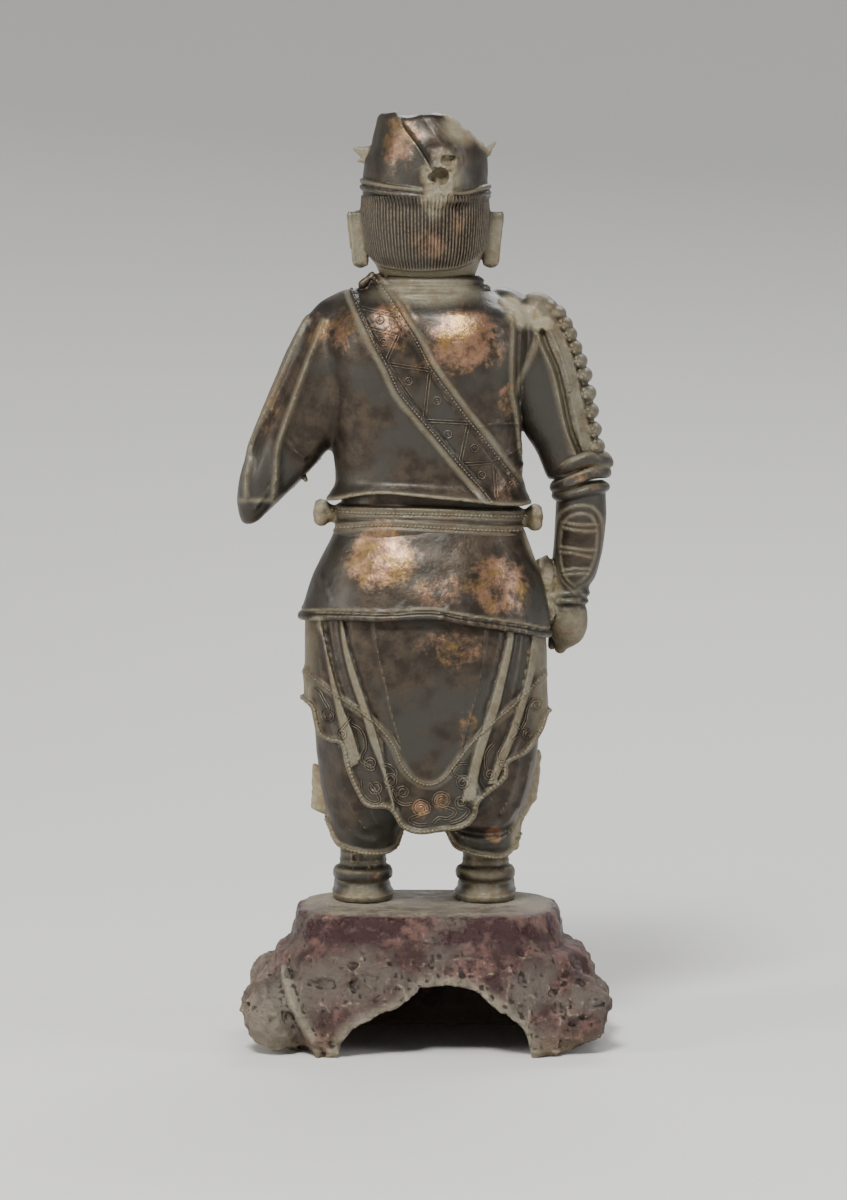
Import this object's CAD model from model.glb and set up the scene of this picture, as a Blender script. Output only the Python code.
# %% [markdown]
# # A cast bronze dignitary on his rock
#
# The object is a bronze figure about 34 cm high, cast hollow and chased by hand, on a second,
# coarser casting made to look like rock. This lesson builds the surface of that bronze in Blender.
# The big forms are sculpted by rule from a few measured sections. What repeats, such as beads,
# cords, combed hair and scrolls, is pressed onto those forms by Geometry Nodes.
#
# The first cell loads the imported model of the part, which fixes every size and place below.

# %% The frame
import itertools
import math
import time

import bpy
import numpy as np
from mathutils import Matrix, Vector


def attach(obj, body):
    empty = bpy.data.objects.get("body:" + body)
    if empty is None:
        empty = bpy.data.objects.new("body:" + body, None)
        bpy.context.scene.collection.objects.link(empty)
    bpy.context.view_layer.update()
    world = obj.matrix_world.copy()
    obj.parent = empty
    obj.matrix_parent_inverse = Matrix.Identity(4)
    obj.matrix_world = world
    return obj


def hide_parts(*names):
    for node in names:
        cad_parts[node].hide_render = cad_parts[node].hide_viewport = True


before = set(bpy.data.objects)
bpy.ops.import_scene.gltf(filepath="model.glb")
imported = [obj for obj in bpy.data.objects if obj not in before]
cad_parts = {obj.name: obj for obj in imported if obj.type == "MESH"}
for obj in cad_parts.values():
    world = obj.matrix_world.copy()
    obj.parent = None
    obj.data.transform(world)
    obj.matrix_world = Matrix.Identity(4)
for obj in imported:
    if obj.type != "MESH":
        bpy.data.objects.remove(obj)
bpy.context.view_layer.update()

started = time.time()
MM = 0.001

# %% [markdown]
# ## Camera and light
#
# The figure is seen from behind, from a little above its belt, through a long lens two metres
# away. A long lens keeps the plinth and the cap at nearly the same scale. The view is upright, so
# the sensor's long side is the height of the picture.
#
# Old bronze is nearly black, and what the eye reads is its reflections. Large soft lamps make
# broad, quiet highlights on the shoulders, and one smaller lamp picks out the relief.

# %% Camera
CAMERA_DISTANCE = 2.0
CAMERA_HEIGHT = 0.319
PICTURE_MIDDLE = 0.1617  # height on the figure's axis at the middle of the picture
PICTURE_HEIGHT = 0.438
SENSOR = 36.0

camera_data = bpy.data.cameras.new("camera")
camera_data.sensor_width = SENSOR
reach = math.hypot(CAMERA_DISTANCE, CAMERA_HEIGHT - PICTURE_MIDDLE)
camera_data.lens = SENSOR * reach / PICTURE_HEIGHT
camera_data.clip_start = 0.1
camera_data.clip_end = 20.0
camera = bpy.data.objects.new("camera", camera_data)
bpy.context.scene.collection.objects.link(camera)
camera.location = (0, CAMERA_DISTANCE, CAMERA_HEIGHT)
aim = Vector((0, 0, PICTURE_MIDDLE)) - camera.location
camera.rotation_euler = aim.to_track_quat("-Z", "Y").to_euler()
bpy.context.scene.camera = camera
print("lens", round(camera_data.lens, 1), "mm")


# %% Floor, backdrop and lamps
def lamp(name, place, size, power, warmth=(1, 1, 1)):
    data = bpy.data.lights.new(name, "AREA")
    data.shape = "RECTANGLE"
    data.size, data.size_y = size
    data.energy = power
    data.color = warmth
    made = bpy.data.objects.new(name, data)
    bpy.context.scene.collection.objects.link(made)
    made.location = place
    towards = Vector((0, 0, 0.17)) - made.location
    made.rotation_euler = towards.to_track_quat("-Z", "Y").to_euler()
    return made


def studio_floor():
    """A pale sheet that runs flat under the figure and rises all round far away."""
    FLAT = 1.1
    RISE = 1.6
    rings, around = 24, 48
    points, faces = [(0, 0, 0)], []
    for ring in range(1, rings + 1):
        out = 3.6 * ring / rings
        height = 0 if out < FLAT else RISE * ((out - FLAT) / (3.6 - FLAT)) ** 2
        for step in range(around):
            turn = 2 * math.pi * step / around
            points.append((out * math.cos(turn), out * math.sin(turn), height))
    for step in range(around):
        after = (step + 1) % around
        faces.append((0, 1 + step, 1 + after))
        for ring in range(rings - 1):
            near, far = 1 + ring * around, 1 + (ring + 1) * around
            faces.append((near + step, far + step, far + after, near + after))
    mesh = bpy.data.meshes.new("floor")
    mesh.from_pydata(points, [], faces)
    mesh.shade_smooth()
    floor = bpy.data.objects.new("floor", mesh)
    bpy.context.scene.collection.objects.link(floor)
    paper = bpy.data.materials.new("pale_paper")
    paper.use_nodes = True
    shader = paper.node_tree.nodes["Principled BSDF"]
    shader.inputs["Base Color"].default_value = (0.74, 0.73, 0.71, 1)
    shader.inputs["Roughness"].default_value = 0.9
    mesh.materials.append(paper)
    return floor


studio_floor()
lamp("key", (0.35, 1.45, 1.7), (0.5, 0.5), 56)
lamp("left", (1.7, 0.9, 0.8), (0.4, 1.2), 20, (1.0, 0.96, 0.9))
lamp("right", (-1.7, 0.8, 0.6), (0.4, 1.2), 15, (0.95, 0.97, 1.0))
lamp("rim", (-0.3, -1.4, 1.3), (1.2, 0.6), 20)
world = bpy.data.worlds.new("room")
world.use_nodes = True
world.node_tree.nodes["Background"].inputs["Color"].default_value = (0.75, 0.77, 0.8, 1)
world.node_tree.nodes["Background"].inputs["Strength"].default_value = 0.25
bpy.context.scene.world = world

# %% [markdown]
# ## How the forms are described
#
# A founder's template for a figure like this is a stack of horizontal sections. Each main form
# below is a short table of them, in millimetres: a height, and where the section ends at the left,
# right, front and back. The left is the figure's own left, +X, and the figure faces -Y.
#
# The sections could be skinned as a mesh straight away, but a casting has no seams where a sleeve
# meets a shoulder. So each table becomes a distance: how far any point in space lies outside the
# form. Distances can be joined with a soft fillet, cut, and raised or sunk by carving, and the
# surface is taken from them only at the end.


# %% Sections into distances
def lofted(stations, step=0.25):
    """The limits of the section at every quarter millimetre, smooth between stations."""
    rows = np.array(stations, float)
    heights = rows[:, 0]
    rise = np.diff(heights)
    secant = np.diff(rows[:, 1:], axis=0) / rise[:, None]
    slope = np.zeros_like(rows[:, 1:])
    slope[0], slope[-1] = secant[0], secant[-1]
    before, after = secant[:-1], secant[1:]
    same = before * after > 0
    total = np.where(same, before + after, 1)
    slope[1:-1] = np.where(same, 2 * before * after / total, 0)
    levels = np.arange(heights[0], heights[-1] + step, step)
    low = np.clip(np.searchsorted(heights, levels, side="right") - 1, 0, len(rise) - 1)
    t = np.clip((levels - heights[low]) / rise[low], 0, 1)[:, None]
    h = rise[low][:, None]
    limits = (
        (2 * t**3 - 3 * t**2 + 1) * rows[low, 1:]
        + (t**3 - 2 * t**2 + t) * h * slope[low]
        + (3 * t**2 - 2 * t**3) * rows[low + 1, 1:]
        + (t**3 - t**2) * h * slope[low + 1]
    )
    girth = (limits[:, 0] - limits[:, 1] + limits[:, 3] - limits[:, 2]) / 4
    lean = 1 / np.hypot(1, np.gradient(girth, step))
    return levels, np.column_stack([limits, lean])


def soft_union(a, b, fillet):
    h = np.clip(0.5 + 0.5 * (b - a) / fillet, 0, 1)
    return b + (a - b) * h - fillet * h * (1 - h)


def soft_common(a, b, fillet):
    return -soft_union(-a, -b, fillet)


def form(p, loft, squareness=2.7, edge=2.0):
    """Distance outside a lofted form. Squareness 2 gives oval sections, and more gives squarer ones."""
    x, y, z = p
    levels, columns = loft
    left, right, front, back, lean = (np.interp(z, levels, c) for c in columns.T)
    dx, dy = x - (left + right) / 2, y - (front + back) / 2
    u, v = np.abs(dx) / ((left - right) / 2), np.abs(dy) / ((back - front) / 2)
    size = np.maximum((u**squareness + v**squareness) ** (1 / squareness), 0.05)
    side = np.hypot(dx, dy) * (1 - 1 / size) * lean
    ends = np.maximum(levels[0] - z, z - levels[-1])
    return soft_common(side, ends, edge)


def egg(p, centre, radii):
    """Distance outside an ellipsoid, near enough for carving."""
    offset = [(c - m) / r for c, m, r in zip(p, centre, radii)]
    scaled = [o / r for o, r in zip(offset, radii)]
    size = np.sqrt(sum(o * o for o in offset))
    return size * (size - 1) / np.maximum(np.sqrt(sum(s * s for s in scaled)), 1e-6)


def limb(p, start, end, start_radius, end_radius, flatten=(1, 1, 1)):
    """Distance outside a round bar between two points, thicker at one end if asked."""
    start, end, flat = (np.array(v, float) for v in (start, end, flatten))
    q = np.stack([(c - s) / f for c, s, f in zip(p, start, flat)])
    axis = (end - start) / flat
    t = np.clip(np.tensordot(axis, q, 1) / (axis @ axis), 0, 1)
    gap = np.sqrt(((q - axis[:, None] * t) ** 2).sum(0))
    return gap - (start_radius + (end_radius - start_radius) * t)


def smoothstep(low, high, value):
    t = np.clip((value - low) / (high - low), 0, 1)
    return t * t * (3 - 2 * t)


print("distance tools ready")

# %% [markdown]
# ## Carving
#
# On the real bronze the folds, seams and edges were modelled in the wax and sharpened with a
# chisel after casting. Here a carved line is drawn as seen from behind, as points of x and z, and
# it raises or sinks the surface within its width. Because the figure is seen flat on, the same
# lines can be measured from the picture and used unchanged.
#
# Castings are never quite smooth, so a soft random grain, the same each time, is added too.


# %% Carved lines and grain
def smooth_line(points, spacing=1.5):
    """The same line through its points, rounded at its corners and cut into short steps."""
    rows = np.array(points, float)
    padded = np.vstack([2 * rows[0] - rows[1], rows, 2 * rows[-1] - rows[-2]])
    made = []
    for a, b, c, d in zip(padded, padded[1:], padded[2:], padded[3:]):
        steps = max(1, int(np.linalg.norm(c - b) / spacing))
        for t in np.arange(steps) / steps:
            made.append(
                0.5 * (2 * b + (c - a) * t + (2 * a - 5 * b + 4 * c - d) * t**2
                       + (3 * b - a - 3 * c + d) * t**3)
            )
    return np.array([*made, rows[-1]])


MAP_STEP = 0.25
line_maps = {}


def line_map(line, limit):
    """Distance and signed distance to a line on a fine grid round it, worked out once for each line."""
    key = (line.tobytes(), limit)
    if key in line_maps:
        return line_maps[key]
    low = line.min(0) - limit - MAP_STEP
    count = ((line.max(0) + limit + MAP_STEP - low) / MAP_STEP).astype(int) + 2
    u, v = (low[a] + MAP_STEP * np.arange(count[a]) for a in range(2))
    best = np.full(count, float(limit))
    side = best.copy()
    for start, end in zip(line, line[1:]):
        first = ((np.minimum(start, end) - limit - low) / MAP_STEP).astype(int)
        last = ((np.maximum(start, end) + limit - low) / MAP_STEP).astype(int) + 2
        window = slice(first[0], last[0]), slice(first[1], last[1])
        a, b = np.meshgrid(u[window[0]] - start[0], v[window[1]] - start[1], indexing="ij")
        ex, ey = end - start
        t = np.clip((a * ex + b * ey) / (ex * ex + ey * ey + 1e-9), 0, 1)
        gap = np.hypot(a - t * ex, b - t * ey)
        better = gap < best[window]
        best[window] = np.where(better, gap, best[window])
        side[window] = np.where(better, np.where(ex * b - ey * a > 0, gap, -gap), side[window])
    line_maps[key] = low, best, side
    return line_maps[key]


def from_line(u, v, line, limit):
    """Distance and signed distance from points (u, v) to a line, exact only nearer than the limit."""
    low, best, side = line_map(line, limit)
    a, b = (u - low[0]) / MAP_STEP, (v - low[1]) / MAP_STEP
    close = np.nonzero((a > 0) & (b > 0) & (a < best.shape[0] - 1) & (b < best.shape[1] - 1))[0]
    a, b = a[close], b[close]
    i, j = a.astype(int), b.astype(int)
    s, t = a - i, b - j
    results = []
    for source in (best, side):
        value = np.full(u.shape, float(limit))
        here = source[i, j] * (1 - t) + source[i, j + 1] * t
        after = source[i + 1, j] * (1 - t) + source[i + 1, j + 1] * t
        value[close] = here * (1 - s) + after * s
        results.append(value)
    return results


def facing(p, side):
    """One on the side of the figure that the carving is for, fading to nothing past its edge."""
    return smoothstep(-3, 3, side * p[1])


def ridge(p, line, width, height, side=1, sharp=1.0):
    """How much a rounded ridge along a line raises the surface. A negative height is a groove."""
    gap, _ = from_line(p[0], p[2], line, width)
    return height * facing(p, side) * np.clip(1 - (gap / width) ** 2, 0, 1) ** sharp


def cloth_edge(p, line, height, fade, side=1):
    """A cut edge of cloth: a step along the line that fades away over the side on its left."""
    gap, signed = from_line(p[0], p[2], line, 3 * fade)
    step = smoothstep(-0.35, 0.35, signed) * np.exp(-np.maximum(signed, 0) / fade)
    return height * facing(p, side) * np.where(gap < 3 * fade, step, 0)


def fold(p, line, height, spread, side=1):
    """A sharp crest along a line, with a shallow trough along each flank."""
    gap, _ = from_line(p[0], p[2], line, 4 * spread)
    t = gap / spread
    flank = np.exp(-t) - 0.28 * np.exp(-((t - 2) ** 2))
    return height * facing(p, side) * flank * (1 - t / 4)


def pleat(p, left, right, height, side=1):
    """A flat-topped pleat between two edges drawn downwards. Its right edge is the sharper one."""
    _, from_left = from_line(p[0], p[2], left, 5)
    _, from_right = from_line(p[0], p[2], right, 5)
    return height * facing(p, side) * smoothstep(0.5, -0.6, from_left) * smoothstep(-0.3, 0.3, from_right)


def grain(p, size, seed):
    """Smooth random values from -1 to 1 with a lump about every size millimetres."""
    scaled = [c / size + 11.3 * seed for c in p]
    cell = [np.floor(c).astype(np.int64) for c in scaled]
    part = [s - c for s, c in zip(scaled, cell)]
    part = [t * t * (3 - 2 * t) for t in part]
    total = 0
    for corner in itertools.product((0, 1), repeat=3):
        weight = 1
        mixed = np.int64(seed * 7919)
        for c, t, k, prime in zip(cell, part, corner, (73856093, 19349663, 83492791)):
            weight = weight * (t if k else 1 - t)
            mixed = mixed ^ ((c + k) * prime)
        mixed = (mixed ^ (mixed >> 13)) * 1274126177 & 0xFFFFFFFF
        mixed = (mixed ^ (mixed >> 15)) * 2246822519 & 0xFFFFFFFF
        total = total + weight * (mixed / 0x7FFFFFFF - 1)
    return total


def crags(p, size, seed):
    """Sharp crests between rounded dips, from -0.5 to 0.5, as on broken stone or crusted earth."""
    return 0.5 - np.abs(grain(p, size, seed))


print("carving tools ready")


# %% Helpers for hems and borders
def height_on(line, x):
    """The height of a line over each x. The line runs from the figure's left to its right."""
    return np.interp(-x, -line[:, 0], line[:, 1])


def beside(line, offset):
    """The same line moved sideways, to its left if the offset is above zero."""
    along = np.gradient(line, axis=0)
    along /= np.linalg.norm(along, axis=1)[:, None]
    return line + offset * np.column_stack([-along[:, 1], along[:, 0]])


def below(p, line, limit=6):
    """Distance below a hem line, used to cut off what hangs lower. It is under zero above the line."""
    x, _, z = p
    gap, _ = from_line(x, z, line, limit)
    return np.where(z < height_on(line, x), gap, -gap)


def roll(surface, p, line, radius, sunk=0.0):
    """A round cord lying along a line on a surface, given the distance to that surface."""
    gap, _ = from_line(p[0], p[2], line, 4 * radius)
    return np.hypot(surface + sunk, gap) - radius


print("hem tools ready")

# %% [markdown]
# ## From distances to a mesh
#
# The surface is where the distance is zero. Space is filled with small cubes, one point goes into
# each cube that the surface crosses, and neighbouring points are joined by four-sided faces. This
# gives even quads with no poles, closed all round. Only the cubes near the surface are worked out,
# which makes it quick. Each point is then pulled exactly onto the surface, so relief finer than a
# cube still comes out crisp.
#
# Every point also remembers how sharply the surface bends there, worked out from how far it moves
# when the mesh is smoothed. Dirt gathers where it bends inwards and polish where it bends outwards,
# so the finishes read it later. Two more masks, worn and dust, come from a list of places where the
# real figure is rubbed bright or caked with earth.


# %% Where the bronze is rubbed bright and where earth sticks
WORN_SPOTS = [  # middle, reach along x, y and z, and strength
    ((-15, 24, 257), (19, 18, 17), 1.0),
    ((-2, 22, 250), (10, 14, 12), 0.55),
    ((11, 22, 262), (12, 16, 15), 0.9),
    ((27, 17, 260), (12, 14, 14), 0.7),
    ((38, 13, 262), (9, 12, 9), 0.6),
    ((-31, 20, 236), (6, 12, 9), 0.6),
    ((-30, 22, 203), (8, 12, 8), 0.5),
    ((16, 28, 180), (21, 16, 17), 1.0),
    ((-28, 28, 169), (19, 16, 16), 0.85),
    ((-6, 30, 167), (14, 14, 9), 0.7),
    ((-10, 30, 146), (16, 12, 10), 0.6),
    ((1.1, 30, 88.7), (5, 9, 5), 0.9),
    ((-6.7, 30, 91), (5, 9, 5), 0.7),
    ((-16, 30, 118), (5, 9, 12), 0.5),
    ((9, 22, 329), (12, 14, 16), 0.75),
    ((-2, 24, 291), (9, 9, 9), 0.65),
    ((-12, 22, 300), (7, 9, 7), 0.4),
    ((-25.5, 16, 78), (5, 9, 5), 0.9),
    ((17, 12, 61), (8, 9, 4), 0.6),
    ((56, 6, 240), (10, 12, 30), 0.45),
    ((-60, 6, 208), (10, 12, 8), 0.5),
    ((8, -26, 176), (24, 14, 16), 0.8),
    ((0, -24, 250), (20, 14, 18), 0.7),
    ((-0.8, -24, 296), (9, 12, 9), 0.6),
]
DUST_SPOTS = [
    ((-35, 14, 266), (10.5, 12, 6.5), 1.0),
    ((-31.6, 14, 270.4), (6, 12, 5), 1.0),
    ((-43, 12, 262.6), (6, 10, 4), 0.9),
    ((25.4, 0, 293), (6, 12, 14), 0.62),
    ((-26.8, 0, 293), (6, 12, 14), 0.55),
    ((-1.5, 17, 275), (27, 14, 8.5), 0.55),
    ((-41, 4, 183), (9, 14, 13), 0.8),
    ((37, 4, 192), (8, 12, 10), 0.6),
    ((-45, -3, 165), (8, 12, 13), 0.95),
    ((-55, -8, 150), (10, 12, 10), 0.6),
    ((-8, 24, 316), (8, 9, 11), 0.62),
    ((-3, 24, 307), (6, 9, 5), 0.8),
    ((-14, 16, 333), (10, 14, 8), 0.7),
    ((24, 1, 325), (7, 9, 7), 0.7),
    ((38.5, 0, 93), (6, 9, 15), 0.95),
    ((-39.6, 0, 92), (6, 9, 20), 0.85),
    ((-34, 4, 76), (4.5, 12, 12), 0.9),
    ((38, 24, 154.4), (4, 9, 4), 0.9),
    ((40, 16, 118), (5, 14, 12), 0.5),
    ((22, 8, 54), (14, 15, 4), 0.6),
    ((-23, 8, 54), (14, 15, 4), 0.6),
    ((-23, 10, 62), (12, 12, 3), 0.5),
]


def patches(p, spots):
    """The strongest of some soft-edged spots at each point, from nought to one."""
    best = np.zeros(p[0].shape)
    for middle, reach, strength in spots:
        far = np.sqrt(sum(((c - m) / r) ** 2 for c, m, r in zip(p, middle, reach)))
        best = np.maximum(best, strength * smoothstep(1, 0.4, far))
    return best


print(len(WORN_SPOTS), "worn places,", len(DUST_SPOTS), "dusty ones")


# %% Surface from a distance
BLOCK = 4


def sample_near_surface(field, low, voxel, count):
    """The field on a grid of points, worked out only where the surface may be."""
    middles = [low[a] + (np.arange(count[a]) + 0.5) * BLOCK * voxel for a in range(3)]
    blocks = np.meshgrid(*middles, indexing="ij")
    coarse = field([b.ravel() for b in blocks]).reshape(count)
    near = np.argwhere(np.abs(coarse) < 1.35 * BLOCK * voxel + 1.0)
    values = np.where(coarse < 0, -voxel, voxel).astype(np.float32)
    for axis in range(3):
        values = np.repeat(values, BLOCK, axis)
    inner = np.array(list(itertools.product(range(BLOCK), repeat=3)))
    index = (near[:, None] * BLOCK + inner[None]).reshape(-1, 3)
    points = low + (index + 0.5) * voxel
    values[tuple(index.T)] = field(list(points.T))
    return values


def crossing_quads(values):
    """Points and four-sided faces of the surface, in grid steps."""
    inside = values < 0
    shape = np.array(values.shape)
    stride = np.array([shape[1] * shape[2], shape[2], 1])
    cells, places, flips = [], [], []
    for axis in range(3):
        first = np.take(inside, range(shape[axis] - 1), axis)
        second = np.take(inside, range(1, shape[axis]), axis)
        start = np.argwhere(first != second)
        step = np.zeros(3, int)
        step[axis] = 1
        here = values[tuple(start.T)]
        there = values[tuple((start + step).T)]
        places.append(start + step * (here / (here - there))[:, None])
        flips.append(here > 0)
        b, c = (axis + 1) % 3, (axis + 2) % 3
        around = []
        for db, dc in ((1, 1), (0, 1), (0, 0), (1, 0)):
            corner = start.copy()
            corner[:, b] -= db
            corner[:, c] -= dc
            around.append(corner @ stride)
        cells.append(np.stack(around, 1))
    cells, places = np.concatenate(cells), np.concatenate(places)
    flips = np.concatenate(flips)
    used, faces = np.unique(cells, return_inverse=True)
    faces = faces.reshape(-1, 4)
    shared = np.bincount(faces.ravel(), minlength=len(used))
    points = np.stack(
        [np.bincount(faces.ravel(), np.repeat(places[:, a], 4), len(used)) / shared for a in range(3)], 1
    )
    faces[flips] = faces[flips][:, ::-1]
    return points, faces


def largest_body(points, faces):
    """Only the largest connected surface, without stray crumbs."""
    label = np.arange(len(points))
    while True:
        lowest = label.copy()
        np.minimum.at(lowest, faces.ravel(), np.repeat(label[faces].min(1), 4))
        lowest = lowest[lowest]
        if (lowest == label).all():
            break
        label = lowest
    names, sizes = np.unique(label, return_counts=True)
    keep = label == names[sizes.argmax()]
    renumber = np.cumsum(keep) - 1
    return points[keep], renumber[faces[keep[faces[:, 0]]]]


def slope_of(field, points, value, step=0.12):
    """The direction in which the distance grows, and how fast."""
    slope = np.empty_like(points)
    for axis in range(3):
        moved = points.copy()
        moved[:, axis] += step
        slope[:, axis] = (field(list(moved.T)) - value) / step
    return slope


def bends(points, normals, faces, voxel, reach):
    """How sharply the surface bends, to the millimetre: above zero in a hollow, below on a crest."""
    a, b = faces.ravel(), np.roll(faces, -1, 1).ravel()
    ends, others = np.concatenate([a, b]), np.concatenate([b, a])
    count = np.bincount(ends, minlength=len(points))[:, None]
    rounds = max(1, round(2 * (reach / voxel) ** 2))
    smoothed = points
    for _ in range(rounds):
        sums = [np.bincount(ends, smoothed[others, axis], len(points)) for axis in range(3)]
        smoothed = np.stack(sums, 1) / count
    return ((smoothed - points) * normals).sum(1) * 4 / (rounds * voxel**2)


def sculpt(name, field, low, high, voxel, dust=None):
    """A Blender object of the closed surface where the field is zero, with the masks for its finish."""
    clock = time.time()
    voxel = voxel * 1
    low = np.array(low, float)
    count = np.ceil((np.array(high) - low) / (voxel * BLOCK)).astype(int)
    values = sample_near_surface(field, low, voxel, count)
    points, faces = crossing_quads(values)
    points, faces = largest_body(points, faces)
    points = low + (points + 0.5) * voxel
    for _ in range(2):
        value = field(list(points.T))
        slope = slope_of(field, points, value)
        steep = np.maximum((slope**2).sum(1), 0.05)
        move = -(value / steep)[:, None] * slope
        size = np.linalg.norm(move, axis=1)[:, None]
        points = points + move * np.minimum(1, 0.5 * voxel / np.maximum(size, 1e-9))
    normals = slope / np.linalg.norm(slope, axis=1)[:, None]
    mesh = bpy.data.meshes.new(name)
    mesh.vertices.add(len(points))
    mesh.vertices.foreach_set("co", (points * MM).astype(np.float32).ravel())
    mesh.loops.add(faces.size)
    mesh.loops.foreach_set("vertex_index", faces.astype(np.int32).ravel())
    mesh.polygons.add(len(faces))
    mesh.polygons.foreach_set("loop_start", np.arange(0, faces.size, 4, dtype=np.int32))
    mesh.update(calc_edges=True)
    mesh.validate()
    mesh.shade_smooth()
    p = list(points.T)
    caked = patches(p, DUST_SPOTS)
    masks = {
        "crevice": np.clip(bends(points, normals, faces, voxel, 0.7), -2, 2),
        "hollow": np.clip(bends(points, normals, faces, voxel, 2.2) * 4, -1, 1),
        "worn": patches(p, WORN_SPOTS),
        "dust": caked if dust is None else np.maximum(caked, dust(p)),
    }
    for key, amount in masks.items():
        layer = mesh.attributes.new(key, "FLOAT", "POINT")
        layer.data.foreach_set("value", amount.astype(np.float32))
    made = bpy.data.objects.new(name, mesh)
    bpy.context.scene.collection.objects.link(made)
    print(f"{name}: {2 * len(faces)} triangles in {time.time() - clock:.1f} s")
    return made


print("surface tools ready")

# %% [markdown]
# ## Heights that rule the figure
#
# A sculptor would mark these levels on an upright stick beside the work. The tables of sections
# hang from them, so a form moves with its level.

# %% Levels
PLINTH_TOP = 51
SOLE = PLINTH_TOP + 0.3
SKIRT_LOW = 79
APRON_HEM = 155
BELT_FOOT = 188
BELT_TOP = 200
COLLAR_FOOT = 271
CHIN = 280
CAP_BAND = 308
CAP_TOP = 338
BEHIND, BEFORE = 1, -1
BOOT_PLACES = ((22.2, -4), (-22.8, -4))
print("levels up to", CAP_TOP, "mm")

# %% [markdown]
# ## The plinth
#
# The plinth is rough rockwork, cast thick and open underneath, with a low arch broken through
# behind. A step runs round below its top. The rock is a block with fluted, lumpy sides, so its
# sections are squarish, and two sizes of random grain do what a modeller's fingers did in the
# clay. The hollow and the arch are cut last, with ragged edges.

# %% Plinth
PLINTH = lofted([
    [-2, 44, -48, -36, 43],
    [0, 49, -53, -39, 44.6],
    [3.4, 57.6, -61.6, -43.4, 45.4],
    [10, 62.8, -66, -45, 45.6],
    [16, 63.2, -66.4, -44.4, 45.2],
    [23, 58.4, -61.6, -43, 43.6],
    [30, 54, -58.8, -42, 42.4],
    [35, 52, -56, -40.8, 41.2],
    [37.4, 48.8, -51.4, -39.2, 39.6],
    [44, 47, -50, -38.4, 38.8],
    [49, 45.6, -48.6, -37.4, 37.6],
    [PLINTH_TOP, 43.6, -46.6, -35.4, 35.6],
])
PLINTH_HOLLOW = lofted([
    [-4, 44, -48, -32, 36],
    [6, 52, -55.6, -37, 38],
    [14, 55, -58.6, -38, 38.6],
    [30, 48, -52, -36.4, 36.6],
    [PLINTH_TOP - 6, 39, -42, -31, 31],
])
ARCH = smooth_line(
    [(36, -8), (31.6, 0), (27.7, 9), (19.1, 14.6), (11, 17.6), (6.6, 20.6), (0.9, 25.2), (-4.8, 26.6), (-12, 25.8),
     (-19.2, 24), (-24, 20), (-27.8, 17), (-35.5, 11), (-38.4, 3), (-41, -8)]
)
GULLY = smooth_line([(52, 33), (48.6, 24), (45, 15), (41, 8), (38.4, 1)])
LUMPS = [(54, 30, 15), (-57, 30, 16), (-53, -29, 15), (52, -29, 15)]


def plinth_field(p):
    x, y, z = p
    foot = smoothstep(42, 30, z)
    rock = form(p, PLINTH, 3.2, 3)
    for middle in LUMPS:
        rock = soft_union(rock, egg(p, middle, (11, 12, 12.5)), 4)
    behind = smoothstep(26, 34, y)
    to_arch, _ = from_line(x, z, ARCH, 9)
    rim = np.exp(-((to_arch / 2.6) ** 2)) * behind
    rock = rock - rim * (0.5 + 1.1 * crags(p, 4.2, 14))
    rock = rock - ridge(p, GULLY, 2.2, 1.3 + 0.8 * grain(p, 5, 10)) - ridge(p, beside(GULLY, 3.8), 3.4, -2.4)
    turn = np.arctan2(y, x)
    flutes = np.sin(26 * turn + 2.2 * grain(p, 16, 3)) * smoothstep(38, 43, z)
    carved = 0.25 * flutes + 1.5 * grain(p, 15, 1) * foot + 0.9 * grain(p, 7, 2) * (0.4 + 0.6 * foot)
    carved = carved + 2 * crags(p, 7.5, 9) * foot + (0.5 + 0.9 * foot) * crags(p, 3.8, 5)
    carved = carved + 0.55 * crags(p, 2.2, 15)
    pits = smoothstep(0.35, 0.7, grain(p, 3.6, 16))
    carved = carved - 0.9 * pits * (0.3 + 0.7 * foot)
    top = smoothstep(PLINTH_TOP - 1.6, PLINTH_TOP - 0.2, z)
    rock = rock - carved * (1 - 0.94 * top)
    inner = form(p, PLINTH_HOLLOW, 3.2, 4) + 0.8 * grain(p, 9, 6)
    arch = np.where(z < height_on(ARCH, x), -to_arch, to_arch)
    arch = np.maximum(arch + 0.7 * grain(p, 5, 7) + 0.9 * crags(p, 2.4, 8), 24 - y)
    rock = np.maximum(rock, -soft_union(inner, arch, 1.2))
    return np.maximum(rock, -z)


def plinth_dust(p):
    """Grey dust on the flat top and round the soles, cream earth on the arch's rim and in the gully."""
    x, y, z = p
    top = 0.62 * smoothstep(PLINTH_TOP - 1.4, PLINTH_TOP - 0.3, z)
    near_soles = [np.hypot((x - bx) / 15, (y - by) / 20) for bx, by in BOOT_PLACES]
    ring = smoothstep(1.25, 0.95, np.minimum(*near_soles)) * smoothstep(49.6, PLINTH_TOP, z)
    to_arch, _ = from_line(x, z, ARCH, 9)
    rim = 0.62 * smoothstep(5, 1, to_arch) * smoothstep(30, 36, y)
    gully = ridge(p, beside(GULLY, -0.3), 3.2, 0.7) * smoothstep(-0.6, 0.3, grain(p, 5, 10))
    flank = 0.42 * smoothstep(38, 56, x) * smoothstep(38, 20, z)
    return np.maximum.reduce([top, ring, rim, gully, flank])


plinth = sculpt("rock_plinth", plinth_field, (-73, -50, -3), (70, 51, 54), 0.88, plinth_dust)

# %% [markdown]
# ## Boots and trousers
#
# The boots are felt boots with a rolled ankle, a thick welted sole and a heel that shows square
# from behind. The trousers are full and caught in by a hem above each boot. Boots are stacks of
# oval sections. The welt and the roll are part of the sections, so they run right round.

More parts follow.
